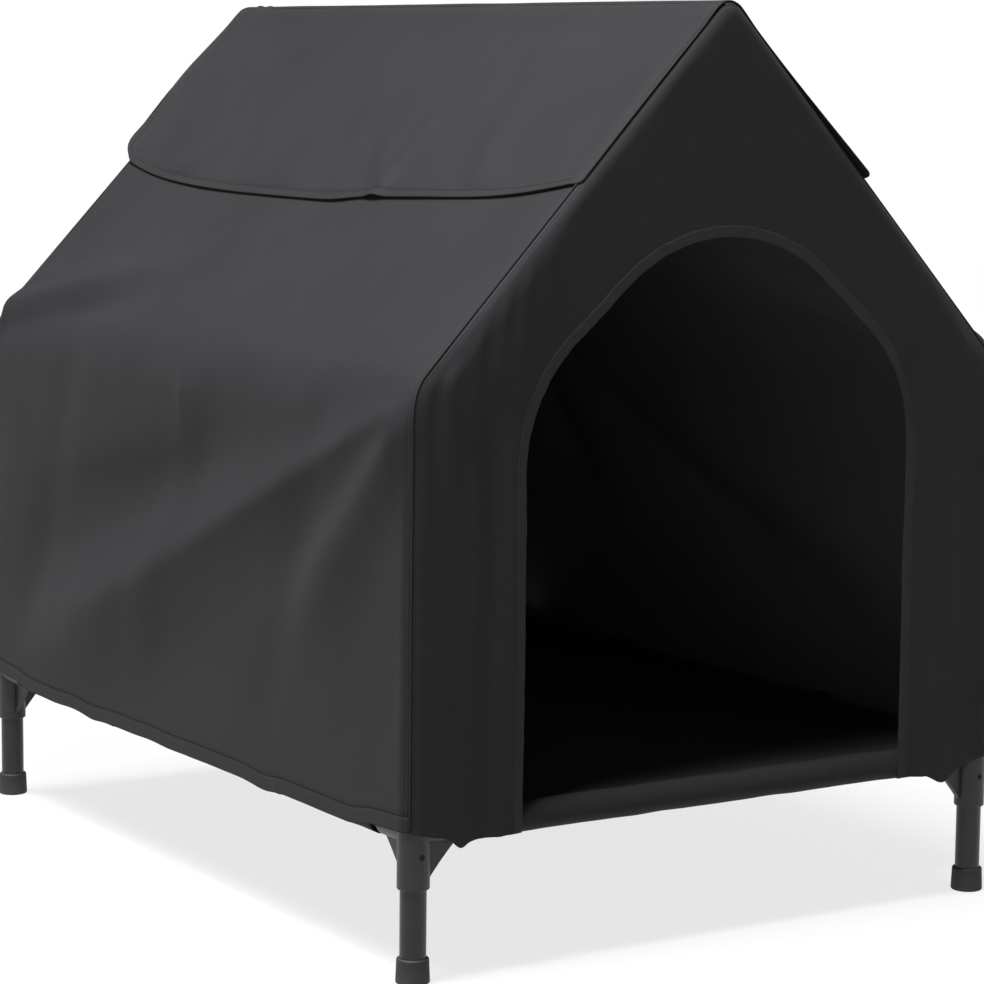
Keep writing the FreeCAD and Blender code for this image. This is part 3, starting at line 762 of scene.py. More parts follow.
def side_base(y, down):
    """The smooth panel: points, outward normals, and the distance down the slope from the ridge bend."""
    slope, radius, full = side_lengths(y)
    lower = np.clip((down - FIXED_TOP) / (SIDE_LENGTH - FIXED_TOP), 0, PAST_HEM)
    run = down + lower * (full - SIDE_LENGTH)
    ridge = np.clip(run, 0, RIDGE_ARC) / COVER_OUT
    along = np.clip(run - RIDGE_ARC, 0, slope)
    turned = np.clip(run - RIDGE_ARC - slope, 0, radius * TURN) / radius
    fall = np.maximum(run - RIDGE_ARC - slope - radius * TURN, 0)
    angle = ridge + turned
    x = -COVER_OUT * np.sin(ridge) - math.cos(PITCH) * along
    x -= radius * (np.sin(PITCH + turned) - math.sin(PITCH))
    z = APEX_Z + COVER_OUT * np.cos(ridge) - math.sin(PITCH) * along - fall
    z -= radius * (math.cos(PITCH) - np.cos(PITCH + turned))
    normal = np.stack([-np.sin(angle), np.zeros_like(y), np.cos(angle)], 1)
    drape = drape_at(y)
    sag = ROOF_SAG * drape * np.sin(math.pi * along / slope) ** 2
    sag += WALL_SAG * drape * np.sin(math.pi * np.clip(fall / SAG_REACH, 0, 1)) ** 2
    wrap = np.clip((np.abs(y) - HALF_Y) / (SEAM_Y - HALF_Y), 0, 1) * seam_turn(1 - turned / TURN)
    y_out = np.sign(y) * (np.minimum(np.abs(y), HALF_Y) + COVER_OUT * np.sin(wrap))
    points = np.stack([x, y_out, z], 1) - normal * (sag + COVER_OUT * (1 - np.cos(wrap)))[:, None]
    normal = normal * np.cos(wrap)[:, None]
    normal[:, 1] = np.sign(y) * np.sin(wrap)
    return points, normal, run - RIDGE_ARC


print("a side panel is", round(SIDE_LENGTH, 3), "m from ridge to hem")

# %% [markdown]
# A row of a fold table gives the crest's start and end, its height, its widths on both sides, how much it
# spreads, and how it comes and goes. On the wall the crest's ends are y and height, and on the roof y and
# the distance down the slope. A hollow has a negative height.

# %% Folds of a side panel
WALL_FOLDS = (
    ((-0.452, 0.537), (0.420, 0.159), 0.0150, 0.022, 0.034, 1.5, 0.05, 0.30),
    ((-0.200, 0.500), (0.440, 0.250), -0.0070, 0.045, 0.034, 0.4, 0.25, 0.25),
    ((-0.452, 0.537), (0.300, 0.211), 0.0048, 0.009, 0.010, 1.6, 0.05, 0.55),
    ((-0.458, 0.517), (-0.210, 0.270), 0.0150, 0.017, 0.024, 1.6, 0.04, 0.55),
    ((-0.050, 0.462), (0.420, 0.395), 0.0030, 0.040, 0.020, 0.6, 0.20, 0.50),
    ((-0.012, 0.540), (-0.012, 0.455), 0.0010, 0.005, 0.005, 0.3, 0.20, 0.50),
    ((0.446, 0.505), (0.330, 0.300), 0.0014, 0.026, 0.024, 1.2, 0.08, 0.50),
)
WALL_WAVE = 0.0009
WALL_WAVE_LEAN = 0.4
WALL_WAVE_SPAN = (0.15, 0.25)
WALL_TOP_SPAN = (0.565, 0.515)
WALL_FOOT_SPAN = (0.13, 0.20)
WALL_EDGE_SPAN = (0.002, 0.026)
ROOF_FOLDS = (
    ((0.463, 0.464), (0.080, 0.345), 0.0110, 0.022, 0.018, 0.5, 0.05, 0.60),
    ((0.448, 0.490), (0.100, 0.412), -0.0060, 0.015, 0.022, 0.4, 0.05, 0.60),
    ((0.446, 0.428), (0.360, 0.362), 0.0034, 0.010, 0.008, 0.3, 0.15, 0.50),
    ((0.425, 0.418), (0.262, 0.376), 0.0032, 0.011, 0.009, 0.3, 0.15, 0.50),
    ((-0.450, 0.452), (-0.240, 0.405), 0.0020, 0.026, 0.022, 0.6, 0.15, 0.55),
)
ROOF_WAVE = 0.0007
ROOF_WAVE_LEAN = -0.5
ROOF_WAVE_SPAN = (0.02, 0.10)
ROOF_EAVE_SPAN = (0.530, 0.484)
ROOF_TOP_SPAN = (0.24, 0.30)
ROOF_EDGE_SPAN = (0.002, 0.016)
SEAM_W = 0.005
SEAM_DIP = 0.0011
SEAM_DIP_W = 0.0016
VENT_TOP = 0.040
VENT_DROP = 0.140
VENT_HALF = 0.300
VENT_HEM = 0.009
VENT_SLACK = 0.001


def wall_folds(y, z):
    height = all_folds(y, z, WALL_FOLDS)
    ripple = WALL_WAVE * waves(y + WALL_WAVE_LEAN * z, length=0.19, seed=5)
    height += ripple * smooth_step(*WALL_WAVE_SPAN, z)
    return height * smooth_step(*WALL_TOP_SPAN, z) * smooth_step(*WALL_FOOT_SPAN, z)


def roof_folds(y, down):
    height = all_folds(y, down, ROOF_FOLDS)
    ripple = ROOF_WAVE * waves(y + ROOF_WAVE_LEAN * down, length=0.23, seed=2)
    height += ripple * smooth_step(*ROOF_WAVE_SPAN, down)
    return height * smooth_step(*ROOF_EAVE_SPAN, down) * smooth_step(*ROOF_TOP_SPAN, down)


def vent_distance(y, down):
    """How far a place on the cloth is outside the vent's edge. Inside it is negative."""
    slope = down - RIDGE_ARC
    return np.maximum(np.abs(y) - VENT_HALF, np.maximum(VENT_TOP - slope, slope - VENT_TOP - VENT_DROP))


def left_panel(y, down):
    points, normal, slope = side_base(y, down)
    from_seam = SEAM_Y - np.abs(y)
    from_vent = vent_distance(y, down)
    height = wall_folds(y, points[:, 2]) * smooth_step(*WALL_EDGE_SPAN, from_seam)
    height += roof_folds(y, slope) * smooth_step(*ROOF_EDGE_SPAN, from_seam)
    height += hem_relief(from_seam, SEAM_W) - SEAM_DIP * bump_at(from_seam, 0.0, SEAM_DIP_W)
    height += hem_relief(SIDE_LENGTH - down, HEM_W)
    height += hem_relief(np.abs(from_vent), VENT_HEM) * (from_vent > -VENT_SLACK)
    return points + normal * height[:, None]


print("folds of a side panel:", len(WALL_FOLDS), "on the wall,", len(ROOF_FOLDS), "on the roof")

# %% Grid of a side panel
FINE_STEP = 0.0008
EDGE_STEP = 0.0015
WRAP_STOPS = (0.0066, 0.0044, 0.0022, 0.0, -0.0030)


def fine(place):
    """Stops close together on both sides of a sewn line."""
    return [place + count * FINE_STEP for count in (-2, -1, 0, 1, 2)]


def mirrored(stops):
    """Stops from one end to the middle, and the same ones from the middle to the other end."""
    return stops + [-stop for stop in reversed(stops)]


edge_stops = [-SEAM_Y, -SEAM_Y + EDGE_STEP] + fine(-SEAM_Y + SEAM_W)
edge_stops += [-HALF_Y - wrap for wrap in WRAP_STOPS]
edge_stops += fine(-VENT_HALF - VENT_HEM) + [-VENT_HALF]
side_columns = spaced(mirrored(edge_stops), STEP)
vent_start = RIDGE_ARC + VENT_TOP
vent_end = vent_start + VENT_DROP
side_stops = [0.0, RIDGE_ARC] + fine(vent_start - VENT_HEM) + [vent_start, vent_end]
side_stops += fine(vent_end + VENT_HEM) + fine(SIDE_LENGTH - HEM_W) + [SIDE_LENGTH - EDGE_STEP, SIDE_LENGTH]
side_rows = spaced(side_stops, STEP)
print("side panel grid:", len(side_columns), "by", len(side_rows))

# %% [markdown]
# The right panel is the same cut of cloth, turned half round, so its folds start at the other end.

# %% Left and right panels
SEAM_SEWN = (0.02, SIDE_LENGTH - 0.002)
HEM_SEWN = SEAM_Y - 0.004
LONG_SEAM_POINTS = 400
VENT_LONG_POINTS = 200
VENT_SHORT_POINTS = 60


def half_turn(place):
    def turned(a, b):
        return place(a, b) * np.array([-1.0, -1.0, 1.0])
    return turned


right_panel = half_turn(left_panel)


def sew_side(name, place):
    """Stitches of a side panel: beside both gable seams, along the hem and round the vent."""
    vent_reach = VENT_HALF + VENT_HEM
    vent_ends = (vent_start - VENT_HEM, vent_end + VENT_HEM)
    seam = np.linspace(*SEAM_SEWN, LONG_SEAM_POINTS)
    level = np.linspace(-HEM_SEWN, HEM_SEWN, LONG_SEAM_POINTS)
    across = np.linspace(-vent_reach, vent_reach, VENT_LONG_POINTS)
    drop = np.linspace(*vent_ends, VENT_SHORT_POINTS)
    lines = [sewn_line(place, side * (SEAM_Y - SEAM_W), seam) for side in (-1, 1)]
    lines.append(sewn_line(place, level, SIDE_LENGTH - HEM_W))
    lines += [sewn_line(place, across, row) for row in vent_ends]
    lines += [sewn_line(place, side * vent_reach, drop) for side in (-1, 1)]
    return sew(name, lines)


for hand, place, facing in (("left", left_panel, (-1, 0, 0.5)), ("right", right_panel, (1, 0, 0.5))):
    panel = make_cloth("cover_" + hand + "_cloth", side_columns, side_rows, place, facing,
                       hole=lambda a, b: vent_distance(a, b) < 0)
    threads = sew_side("cover_" + hand + "_stitches", place)
    settle(panel, "house", ["cover_" + hand + "_panel"])
    settle(threads, "house")

# %% [markdown]
# ## Gable panels
# The front and rear panels close the ends. A band of quads between an inner and an outer outline follows
# both curves: round the doorway in front, and from the middle line in the rear. Near the outline the
# cloth rolls back over the gable tube, most of all at the eave, where a flat panel can't follow the bend.

# %% Outlines of the gable and the doorway
DOOR_HALF = 0.227
DOOR_TOP_Z = 0.681
DOOR_STRAIGHT = 0.076
DOOR_SHOULDER_R = 0.165
DOOR_SLOPE = math.radians(41)
DOOR_CROWN_R = DOOR_HALF - DOOR_SHOULDER_R * (1 - math.sin(DOOR_SLOPE))
DOOR_CROWN_R -= DOOR_STRAIGHT * math.cos(DOOR_SLOPE)
DOOR_CROWN_R /= math.sin(DOOR_SLOPE)
APEX_RISE = 0.0042
BEND_POINTS = 24
APEX_POINTS = 12
ARCH_POINTS = 40
OUT_STEP = 0.004


def ring(centre, radius, angles):
    """Points on a circle. The angle is measured from straight up, turning left."""
    return np.stack([centre[0] - radius * np.sin(angles), centre[1] + radius * np.cos(angles)], 1)


class Outline:
    """Half an outline in the XZ plane, from its foot up to the middle, read by the share of its length."""

    def __init__(self, points):
        self.points = np.concatenate(points)
        lengths = np.linalg.norm(np.diff(self.points, axis=0), axis=1)
        self.length = lengths.sum()
        self.shares = np.concatenate([[0], np.cumsum(lengths)]) / self.length

    def at(self, share, side):
        x = np.interp(share, self.shares, self.points[:, 0])
        return np.stack([-side * x, np.interp(share, self.shares, self.points[:, 1])], 1)

    def out(self, share, side):
        """Unit normal that points away from the middle."""
        step = self.at(np.clip(share + OUT_STEP, 0, 1), side) - self.at(np.clip(share - OUT_STEP, 0, 1), side)
        normal = np.stack([step[:, 1] * side, -step[:, 0] * side], 1)
        return normal / np.linalg.norm(normal, axis=1, keepdims=True)

    def distance(self, x, z):
        """Distance from each point to the outline's nearest edge."""
        p = np.stack([-np.abs(x), z], 1)
        best = np.full(len(p), np.inf)
        for start, end in zip(self.points[:-1], self.points[1:]):
            run = end - start
            share = np.clip((p - start) @ run / (run @ run), 0, 1)
            best = np.minimum(best, np.linalg.norm(p - start - share[:, None] * run, axis=1))
        return best


def share_and_side(a):
    """A place from the left hem at -1 to the right hem at 1, as a share of the half outline and a side."""
    return 1 - np.abs(a), np.where(a < 0, -1.0, 1.0)


bend_centre = (-HALF_X + BEND_R, EAVE_Z - BEND_R * TANGENT)
bend_shares = np.linspace(0, 1, BEND_POINTS)
gable = Outline([
    np.array([[-HALF_X - COVER_OUT * math.cos(WALL_SEAM_TURN), HEM_Z + SCOOP_RISE]]),
    ring(bend_centre, BEND_R + COVER_OUT * np.cos(seam_turn(bend_shares)), math.pi / 2 - TURN * bend_shares),
    ring((0.0, APEX_Z), COVER_OUT * math.cos(ROOF_SEAM_TURN) + APEX_RISE, np.linspace(PITCH, 0, APEX_POINTS)),
])
BEND_START = gable.shares[1]
BEND_END = gable.shares[BEND_POINTS]
crown_centre = (0.0, DOOR_TOP_Z - DOOR_CROWN_R)
crown_end = ring(crown_centre, DOOR_CROWN_R, np.array([DOOR_SLOPE]))[0]
shoulder_x = -DOOR_HALF + DOOR_SHOULDER_R
slope_end_x = shoulder_x - DOOR_SHOULDER_R * math.sin(DOOR_SLOPE)
slope_end_z = crown_end[1] - (crown_end[0] - slope_end_x) * math.tan(DOOR_SLOPE)
shoulder_z = slope_end_z - DOOR_SHOULDER_R * math.cos(DOOR_SLOPE)
doorway = Outline([
    np.array([[-DOOR_HALF, HEM_Z]]),
    ring((shoulder_x, shoulder_z), DOOR_SHOULDER_R, np.linspace(math.pi / 2, DOOR_SLOPE, ARCH_POINTS)),
    ring(crown_centre, DOOR_CROWN_R, np.linspace(DOOR_SLOPE, 0, ARCH_POINTS)),
])
middle_line = Outline([np.array([[0.0, HEM_Z], [0.0, APEX_Z]])])
print("half gable", round(gable.length, 3), "m, half doorway", round(doorway.length, 3), "m")

# %% [markdown]
# A row of the front panel's fold table gives x and z of the crest's upper end and of its lower end, then
# its height and its width. The hem's tips are rows of how far a tip hangs down, its x and its width.

# %% Folds and hems of the gable panels
FRONT_FOLDS = (
    (-0.225, 0.672, -0.243, 0.505, 0.0040, 0.0080),
    (-0.249, 0.648, -0.268, 0.470, 0.0040, 0.0080),
    (-0.276, 0.620, -0.292, 0.450, 0.0030, 0.0085),
    (-0.201, 0.694, -0.216, 0.560, 0.0022, 0.0085),
    (-0.306, 0.585, -0.312, 0.380, 0.0030, 0.0110),
    (-0.277, 0.480, -0.281, 0.200, 0.0036, 0.0130),
    (0.259, 0.634, 0.271, 0.490, 0.0028, 0.0085),
    (0.288, 0.604, 0.299, 0.440, 0.0032, 0.0090),
    (0.232, 0.660, 0.244, 0.530, 0.0022, 0.0085),
    (0.286, 0.450, 0.281, 0.200, 0.0032, 0.0130),
    (-0.322, 0.580, -0.320, 0.330, -0.0034, 0.0090),
    (-0.234, 0.450, -0.236, 0.140, 0.0034, 0.0120),
    (-0.262, 0.560, -0.258, 0.330, -0.0026, 0.0100),
)
FRONT_FOLD_LEAN = 1.2
JAMB_WAVE = 0.0028
JAMB_SPAN = (0.62, 0.45)
FRONT_WAVE = 0.0008
FRONT_WAVE_LEAN = 0.6
FRONT_SCOOP = SCOOP_RISE + 0.001
FRONT_SCOOP_X = 0.288
FRONT_TIPS = ((0.0070, -0.2935, 0.008), (0.0095, 0.282, 0.015))
JAMB_DROP = 0.0010
JAMB_DROP_SPAN = (0.23, 0.26)
FRONT_HEM_WAVE = 0.0004
REAR_FOLDS = (((0.335, 0.515), (0.08, 0.28), 0.005, 0.035, 0.03, 0.9, 0.1, 0.6),)
REAR_SWELL = 0.0016
REAR_WAVE = 0.0010
REAR_WAVE_LEAN = 0.7
REAR_SCOOP_SPAN = (0.25, HALF_X + COVER_OUT)
REAR_HEM_WAVE = 0.0010


def front_height(x, z):
    """Folds of the front panel, outwards."""
    height = np.zeros_like(x)
    for x_top, z_top, x_low, z_low, tall, width in FRONT_FOLDS:
        height += fold(x, z, (x_top, z_top), (x_low, z_low), tall, width, width * FRONT_FOLD_LEAN,
                       spread=0.4, fade_in=0.10, fade_out=0.60)
    height = height + JAMB_WAVE * waves(x, length=0.085, seed=4) * smooth_step(*JAMB_SPAN, z)
    return height + FRONT_WAVE * waves(x + FRONT_WAVE_LEAN * z, length=0.15, seed=7)


def rear_height(x, z):
    """Folds of the rear panel, outwards."""
    drag = all_folds(np.abs(x), z, REAR_FOLDS)
    swell = REAR_SWELL * waves(x, length=0.24, seed=6)
    return drag + swell + REAR_WAVE * waves(x + REAR_WAVE_LEAN * z, length=0.17, seed=8)


def front_hem(x):
    """Lower edge of the front panel: two tips hang down beside the legs, and the corners are scooped out."""
    off = np.abs(x)
    scoop = FRONT_SCOOP * np.clip((off - FRONT_SCOOP_X) / (HALF_X + COVER_OUT - FRONT_SCOOP_X), 0, 1)
    tips = sum(hang * bump_at(x, centre, width) for hang, centre, width in FRONT_TIPS)
    jambs = JAMB_DROP * smooth_step(*JAMB_DROP_SPAN, off)
    return HEM_Z + scoop - tips - jambs + FRONT_HEM_WAVE * waves(x, length=0.024, seed=5)


def rear_hem(x):
    """Lower edge of the rear panel, with scooped corners."""
    scoop = SCOOP_RISE * smooth_step(*REAR_SCOOP_SPAN, np.abs(x))
    return HEM_Z + scoop + REAR_HEM_WAVE * waves(x, length=0.14, seed=2)


print("folds of the front panel:", len(FRONT_FOLDS))

# %% Front and rear panels
DOOR_MARGIN = 0.014
EDGE_MARGIN = 0.040
EAVE_ROLL_W = 0.022
EAVE_ROLL_SHARE = 0.07
HEM_MATCH = 0.30
HEM_REACH = 0.14
GABLE_EDGE_SPAN = (0.008, 0.022)
EDGE_ROWS = 22
EDGE_CROWD = 0.6


def seam_at(share):
    """The seam's turn round the gable tube, by its share of the outline."""
    return seam_turn((share - BEND_START) / (BEND_END - BEND_START))


def gable_roll(x, z, share):
    """How far the cloth has turned back over the gable tube. At the eave the flat cloth can't follow the
    bend, so the roll is wider there."""
    reach = COVER_OUT * np.cos(seam_at(share))
    width = reach + EAVE_ROLL_W * bump_at(share, (BEND_START + BEND_END) / 2, EAVE_ROLL_SHARE)
    over = reach * (1 - np.clip(gable.distance(x, z) / width, 0, 1))
    return COVER_OUT - np.sqrt(COVER_OUT ** 2 - over ** 2)


def gable_panel(inner, lengthwise, folds, hem_line):
    """A place function for a gable panel in front. a runs along the outlines from left hem to right hem,
    b runs from the inner outline at 0 over two margins at 1 and 2 to the gable's outline at 3. Near the hem
    both outlines are read at the same distance from it, and further up by their shares, the inner one's
    times lengthwise."""
    def place(a, b):
        share, side = share_and_side(a)
        near_hem = 1 - smooth_step(0.0, HEM_MATCH, share)
        start = inner.at(share * (lengthwise + (gable.length / inner.length - lengthwise) * near_hem), side)
        end = gable.at(share, side)
        line = end - start
        width = np.linalg.norm(line, axis=1)
        first = np.minimum(DOOR_MARGIN, width / 3)
        last = np.minimum(EDGE_MARGIN, width / 3)
        middle = first + (np.clip(b, 1, 2) - 1) * (width - first - last)
        reach = np.where(b < 1, b * first, np.where(b < 2, middle, width - (3 - b) * last))
        flat = start + line * (reach / width)[:, None]
        x, z = flat[:, 0], flat[:, 1]
        span = np.maximum(np.abs(end[:, 0] - start[:, 0]), ROUNDING)
        straight = HEM_Z + SCOOP_RISE * np.clip(np.abs(x - start[:, 0]) / span, 0, 1)
        above = z - straight
        edge = gable.distance(x, z)
        height = folds(x, z) * smooth_step(*GABLE_EDGE_SPAN, edge) - SEAM_DIP * bump_at(edge, 0.0, SEAM_DIP_W)
        z = z + (hem_line(x) - straight) * (1 - smooth_step(0.0, HEM_REACH, above))
        return np.stack([x, FRONT_Y + gable_roll(x, z, share) - height, z], 1)
    return place


front_panel = gable_panel(doorway, lengthwise=1.0, folds=front_height, hem_line=front_hem)
rear_flat = gable_panel(middle_line, lengthwise=0.995, folds=rear_height, hem_line=rear_hem)


def rear_panel(a, b):
    return rear_flat(a, b) * np.array([1.0, -1.0, 1.0])


def upright_layout(points):
    return points[:, [0, 2]]


def band_rows(inner_count, middle_count):
    """Rows over the inner margin, the cloth and the outer margin, closer together at the gable's outline."""
    inner = np.linspace(0, 1, inner_count)[:-1]
    middle = np.linspace(1, 2, middle_count)[:-1]
    return np.concatenate([inner, middle, 2 + np.linspace(0, 1, EDGE_ROWS) ** EDGE_CROWD])


half_stops = [0.0, EDGE_STEP] + fine(HEM_W) + [gable.length]
half_columns = spaced(half_stops, STEP) / gable.length
gable_columns = np.concatenate([half_columns - 1, (1 - half_columns)[::-1][1:]])
front_rows = band_rows(inner_count=8, middle_count=22)
rear_rows = band_rows(inner_count=4, middle_count=44)
front = make_cloth("cover_front_cloth", gable_columns, front_rows, front_panel, (0, -1, 0),
                   layout=upright_layout)
rear = make_cloth("cover_rear_cloth", gable_columns, rear_rows, rear_panel, (0, 1, 0), layout=upright_layout,
                  merge=True)
print("gable grids:", len(gable_columns), "by", len(front_rows), "and", len(rear_rows))

# %% [markdown]
# Where a gable panel meets the side panels, the doubled cloth makes a fine raised welt. It is a thin tube
# that follows the gable's outline and closes to a point at both hems.

# %% Gable welts and stitches
WELT_R = 0.0011
WELT_END = 0.004
WELT_SCALE = np.array([0.98, 1.0, 0.98])
WELT_RISE = np.array([0, 0, 0.006])
WELT_ROWS = 9
EDGE_ROW = 2.93
EDGE_SEWN = 0.995
EDGE_POINTS = 900
FRONT_AREA = 0.190
REAR_AREA = 0.410
welt_rows = np.linspace(0, 1, WELT_ROWS)


def gable_welt(end):
    def place(a, b):
        share, side = share_and_side(a)
        centre = gable.at(share, side)
        out = gable.out(share, side)
        radius = WELT_R * smooth_step(0.0, WELT_END, share)
        rise = radius * np.cos(2 * math.pi * b)
        y = end * (HALF_Y + COVER_OUT * np.sin(seam_at(share))) + radius * np.sin(2 * math.pi * b)
        return np.stack([centre[:, 0] + out[:, 0] * rise, y, centre[:, 1] + out[:, 1] * rise], 1)
    return place


def away_from_outline(end):
    """Directions from a slightly smaller outline to the welt's faces."""
    def facing(points):
        inner = points * WELT_SCALE + WELT_RISE
        inner[:, 1] = end * SEAM_Y
        return points - inner
    return facing


def sew_edge(place):
    """Stitches beside the welt, all along the gable's outline."""
    return sewn_line(place, np.linspace(-EDGE_SEWN, EDGE_SEWN, EDGE_POINTS), EDGE_ROW)


gable_ends = (("front", front, -1, front_panel, FRONT_AREA), ("rear", rear, 1, rear_panel, REAR_AREA))
for name, panel, end, place, area in gable_ends:
    welt = make_cloth("gable_welt_" + name, gable_columns, welt_rows, gable_welt(end), away_from_outline(end),
                      thickness=None, finishes=(cover_finish,), merge=True)
    threads = sew("cover_" + name + "_stitches", [sew_edge(place)])
    settle(panel, "house", ["cover_" + name + "_panel"])
    settle(welt, "house")
    settle(threads, "house")

# %% [markdown]
# ## Doorway binding
# A folded tape is sewn over the raw edge of the doorway. Round the crown the tape doesn't lie flat on the
# curve, so it puckers. The two rows of millimetres are the tape's section, from its edge on the front
# panel, round the raw edge, to its edge inside: how far it is from the doorway's edge, and how far it
# stands out in front.

# %% Doorway binding
BINDING_T = 0.0005
PUCKER = 0.0007
LONG_PUCKER = 0.4
TAPE_WANDER = 0.5 * PUCKER
PUCKER_SPAN = (0.35, 0.75)
PUCKER_ROW = 3.5
PUCKER_ROWS = 1.6
TAPE_INTO = np.array([10.0, 9.7, 8.6, 5.0, 1.2, -0.6, -1.0, -0.6, 1.5, 5.0, 9.0]) / 1000
TAPE_OUT = np.array([0.0, 0.3, 0.5, 0.7, 0.8, 0.5, -0.5, -1.7, -2.1, -2.1, -1.9]) / 1000
TAPE_STEP = 0.004
TAPE_HEM_REACH = 0.12
TAPE_FRONT = 0.0004
TAPE_SEAM_ROW = 2.4
TAPE_SEWN = 0.998
TAPE_POINTS = 800
tape_rows = np.linspace(0, len(TAPE_INTO) - 1, 2 * len(TAPE_INTO) - 1)


def door_tape(a, b):
    share, side = share_and_side(a)
    run = a * doorway.length
    puckers = waves(run, length=0.021, seed=9) * smooth_step(*PUCKER_SPAN, share)
    puckers += LONG_PUCKER * waves(run, length=0.05, seed=1)
    into = np.interp(b, np.arange(len(TAPE_INTO)), TAPE_INTO)
    into += TAPE_WANDER * waves(run, length=0.033, seed=2)
    out = np.interp(b, np.arange(len(TAPE_OUT)), TAPE_OUT)
    out = out + PUCKER * puckers * bump_at(b, PUCKER_ROW, PUCKER_ROWS)
    edge = doorway.at(share, side) + doorway.out(share, side) * into[:, None]
    x, z = edge[:, 0], edge[:, 1]
    z = z + (front_hem(x) - HEM_Z) * (1 - smooth_step(0.0, TAPE_HEM_REACH, z - HEM_Z))
    return np.stack([x, FRONT_Y - front_height(x, z) - out, z], 1)


def tape_side(points):
    """Forwards for the faces in front, and nothing for the rest."""
    outer = points[:, 1] < FRONT_Y - TAPE_FRONT
    return np.stack([np.zeros(len(points)), np.where(outer, -1.0, 0.0), np.zeros(len(points))], 1)


tape_columns = np.linspace(-1, 1, 2 * round(doorway.length / TAPE_STEP) + 1)
tape = make_cloth("door_binding_tape", tape_columns, tape_rows, door_tape, tape_side, thickness=BINDING_T,
                  finishes=(tape_finish, tape_finish))
tape_seam = sewn_line(door_tape, np.linspace(-TAPE_SEWN, TAPE_SEWN, TAPE_POINTS), TAPE_SEAM_ROW)
tape_threads = sew("door_binding_stitches", [tape_seam])
settle(tape, "house", ["door_binding"])
settle(tape_threads, "house")

# %% [markdown]
# ## Roof flaps and ridge band
# Two flaps lie over the mesh vents and can be turned up. Each is hemmed on three sides, its lower edge
# dips in the middle, waves off the roof and has one pucker.

# %% Edges and folds of a flap
FLAP_HALF = 0.4685
FLAP_DROP = 0.2285
FLAP_BELLY = 0.034
FLAP_BELLY_POWER = 4
FLAP_STEP = 0.004
FLAP_STEP_Y = -0.08
FLAP_STEP_W = 0.03
FLAP_HOLLOW = 0.0040
FLAP_HOLLOW_Y = -0.25
FLAP_HOLLOW_W = 0.11
REAR_CORNER = (0.030, 0.028)
FRONT_CORNER = (0.008, 0.006)
FLAP_GAP = 0.0002
FLAP_WAVE = 0.0004
FLAP_PUCKER = 0.0036
FLAP_PUCKER_Y = -0.128
FLAP_PUCKER_W = 0.013
REAR_RISE = 0.0012
REAR_RISE_SPAN = (0.38, 0.47)
FRONT_RISE = 0.0004
FRONT_RISE_SPAN = (0.40, 0.47)
FLAP_FOLDS = (
    ((0.330, 0.262), (0.170, 0.095), 0.0058, 0.014, 0.018, 0.6, 0.1, 0.7),
    ((-0.134, 0.262), (-0.030, 0.130), 0.0044, 0.010, 0.014, 0.7, 0.05, 0.7),
    ((0.080, 0.262), (0.040, 0.080), 0.0036, 0.020, 0.020, 0.6, 0.1, 0.7),
    ((-0.300, 0.255), (-0.240, 0.100), 0.0040, 0.018, 0.022, 0.6, 0.1, 0.7),
)
FLAP_RIPPLE = 0.0010
FLAP_RIPPLE_LEAN = 0.4
FLAP_RIPPLE_SPAN = (0.02, 0.09)


def corner_cut(outward, length, depth):
    """What a rounded corner takes off the lower edge: nothing at its start, depth at the flap's end."""
    share = np.clip((outward - FLAP_HALF + length) / length, 0, 1)
    return depth * (1 - np.sqrt(1 - share ** 2))


def flap_drop(y):
    """Distance down the slope from the ridge bend to the flap's lower edge."""
    share = np.abs(y) / FLAP_HALF
    belly = FLAP_BELLY * (1 - np.clip(share, 0, 1) ** FLAP_BELLY_POWER)
    drop = FLAP_DROP + belly + FLAP_STEP * np.tanh((y - FLAP_STEP_Y) / FLAP_STEP_W)
    drop -= FLAP_HOLLOW * bump_at(y, FLAP_HOLLOW_Y, FLAP_HOLLOW_W)
    return drop - corner_cut(y, *REAR_CORNER) - corner_cut(-y, *FRONT_CORNER)


def flap_lift(y):
    """Height of the lower edge over the roof."""
    lift = FLAP_GAP + FLAP_WAVE * (1 + waves(y, length=0.37, seed=2))
    lift = lift + FLAP_PUCKER * bump_at(y, FLAP_PUCKER_Y, FLAP_PUCKER_W)
    return lift + REAR_RISE * smooth_step(*REAR_RISE_SPAN, y) + FRONT_RISE * smooth_step(*FRONT_RISE_SPAN, -y)


def flap_folds(y, down):
    ripple = FLAP_RIPPLE * waves(y + FLAP_RIPPLE_LEAN * down, length=0.16, seed=3)
    return all_folds(y, down, FLAP_FOLDS) + ripple * smooth_step(*FLAP_RIPPLE_SPAN, down)


print("folds of a flap:", len(FLAP_FOLDS))

# %% Flaps
FLAP_OUT = 0.0187
FLAP_T = 0.0010
FLAP_START = math.radians(17)
FLAP_ARC = FLAP_OUT * (PITCH - FLAP_START)
FLAP_SLOPE = 0.266
FLAP_LENGTH = FLAP_ARC + FLAP_SLOPE
FLAP_HEM = 0.009
FLAP_SEWN = 0.02
FLAP_END_POINTS = 160
FLAP_FOLLOW = 0.95
FLAP_FOLD_SPAN = (0.0, 0.03)
FRONT_EDGE_SPAN = (0.2, 1.0)
REAR_EDGE_SPAN = (0.4, 1.0)
FRONT_LIFT_SPAN = (0.36, FLAP_HALF)
LIFT_POWER = 1.6
RIDGE_PUFF = 0.0012
RIDGE_PUFF_SPAN = (0.030, 0.0)
HINGE_ANGLE = math.radians(29)
BEND_REACH = 0.040
CURL_REACH = 0.018
ROOF_SEAM_Y = HALF_Y + COVER_OUT * math.sin(ROOF_SEAM_TURN)
SEAM_RISE = 0.0030
SEAM_RISE_W = 0.012
SEAM_RISE_FADE = 0.5


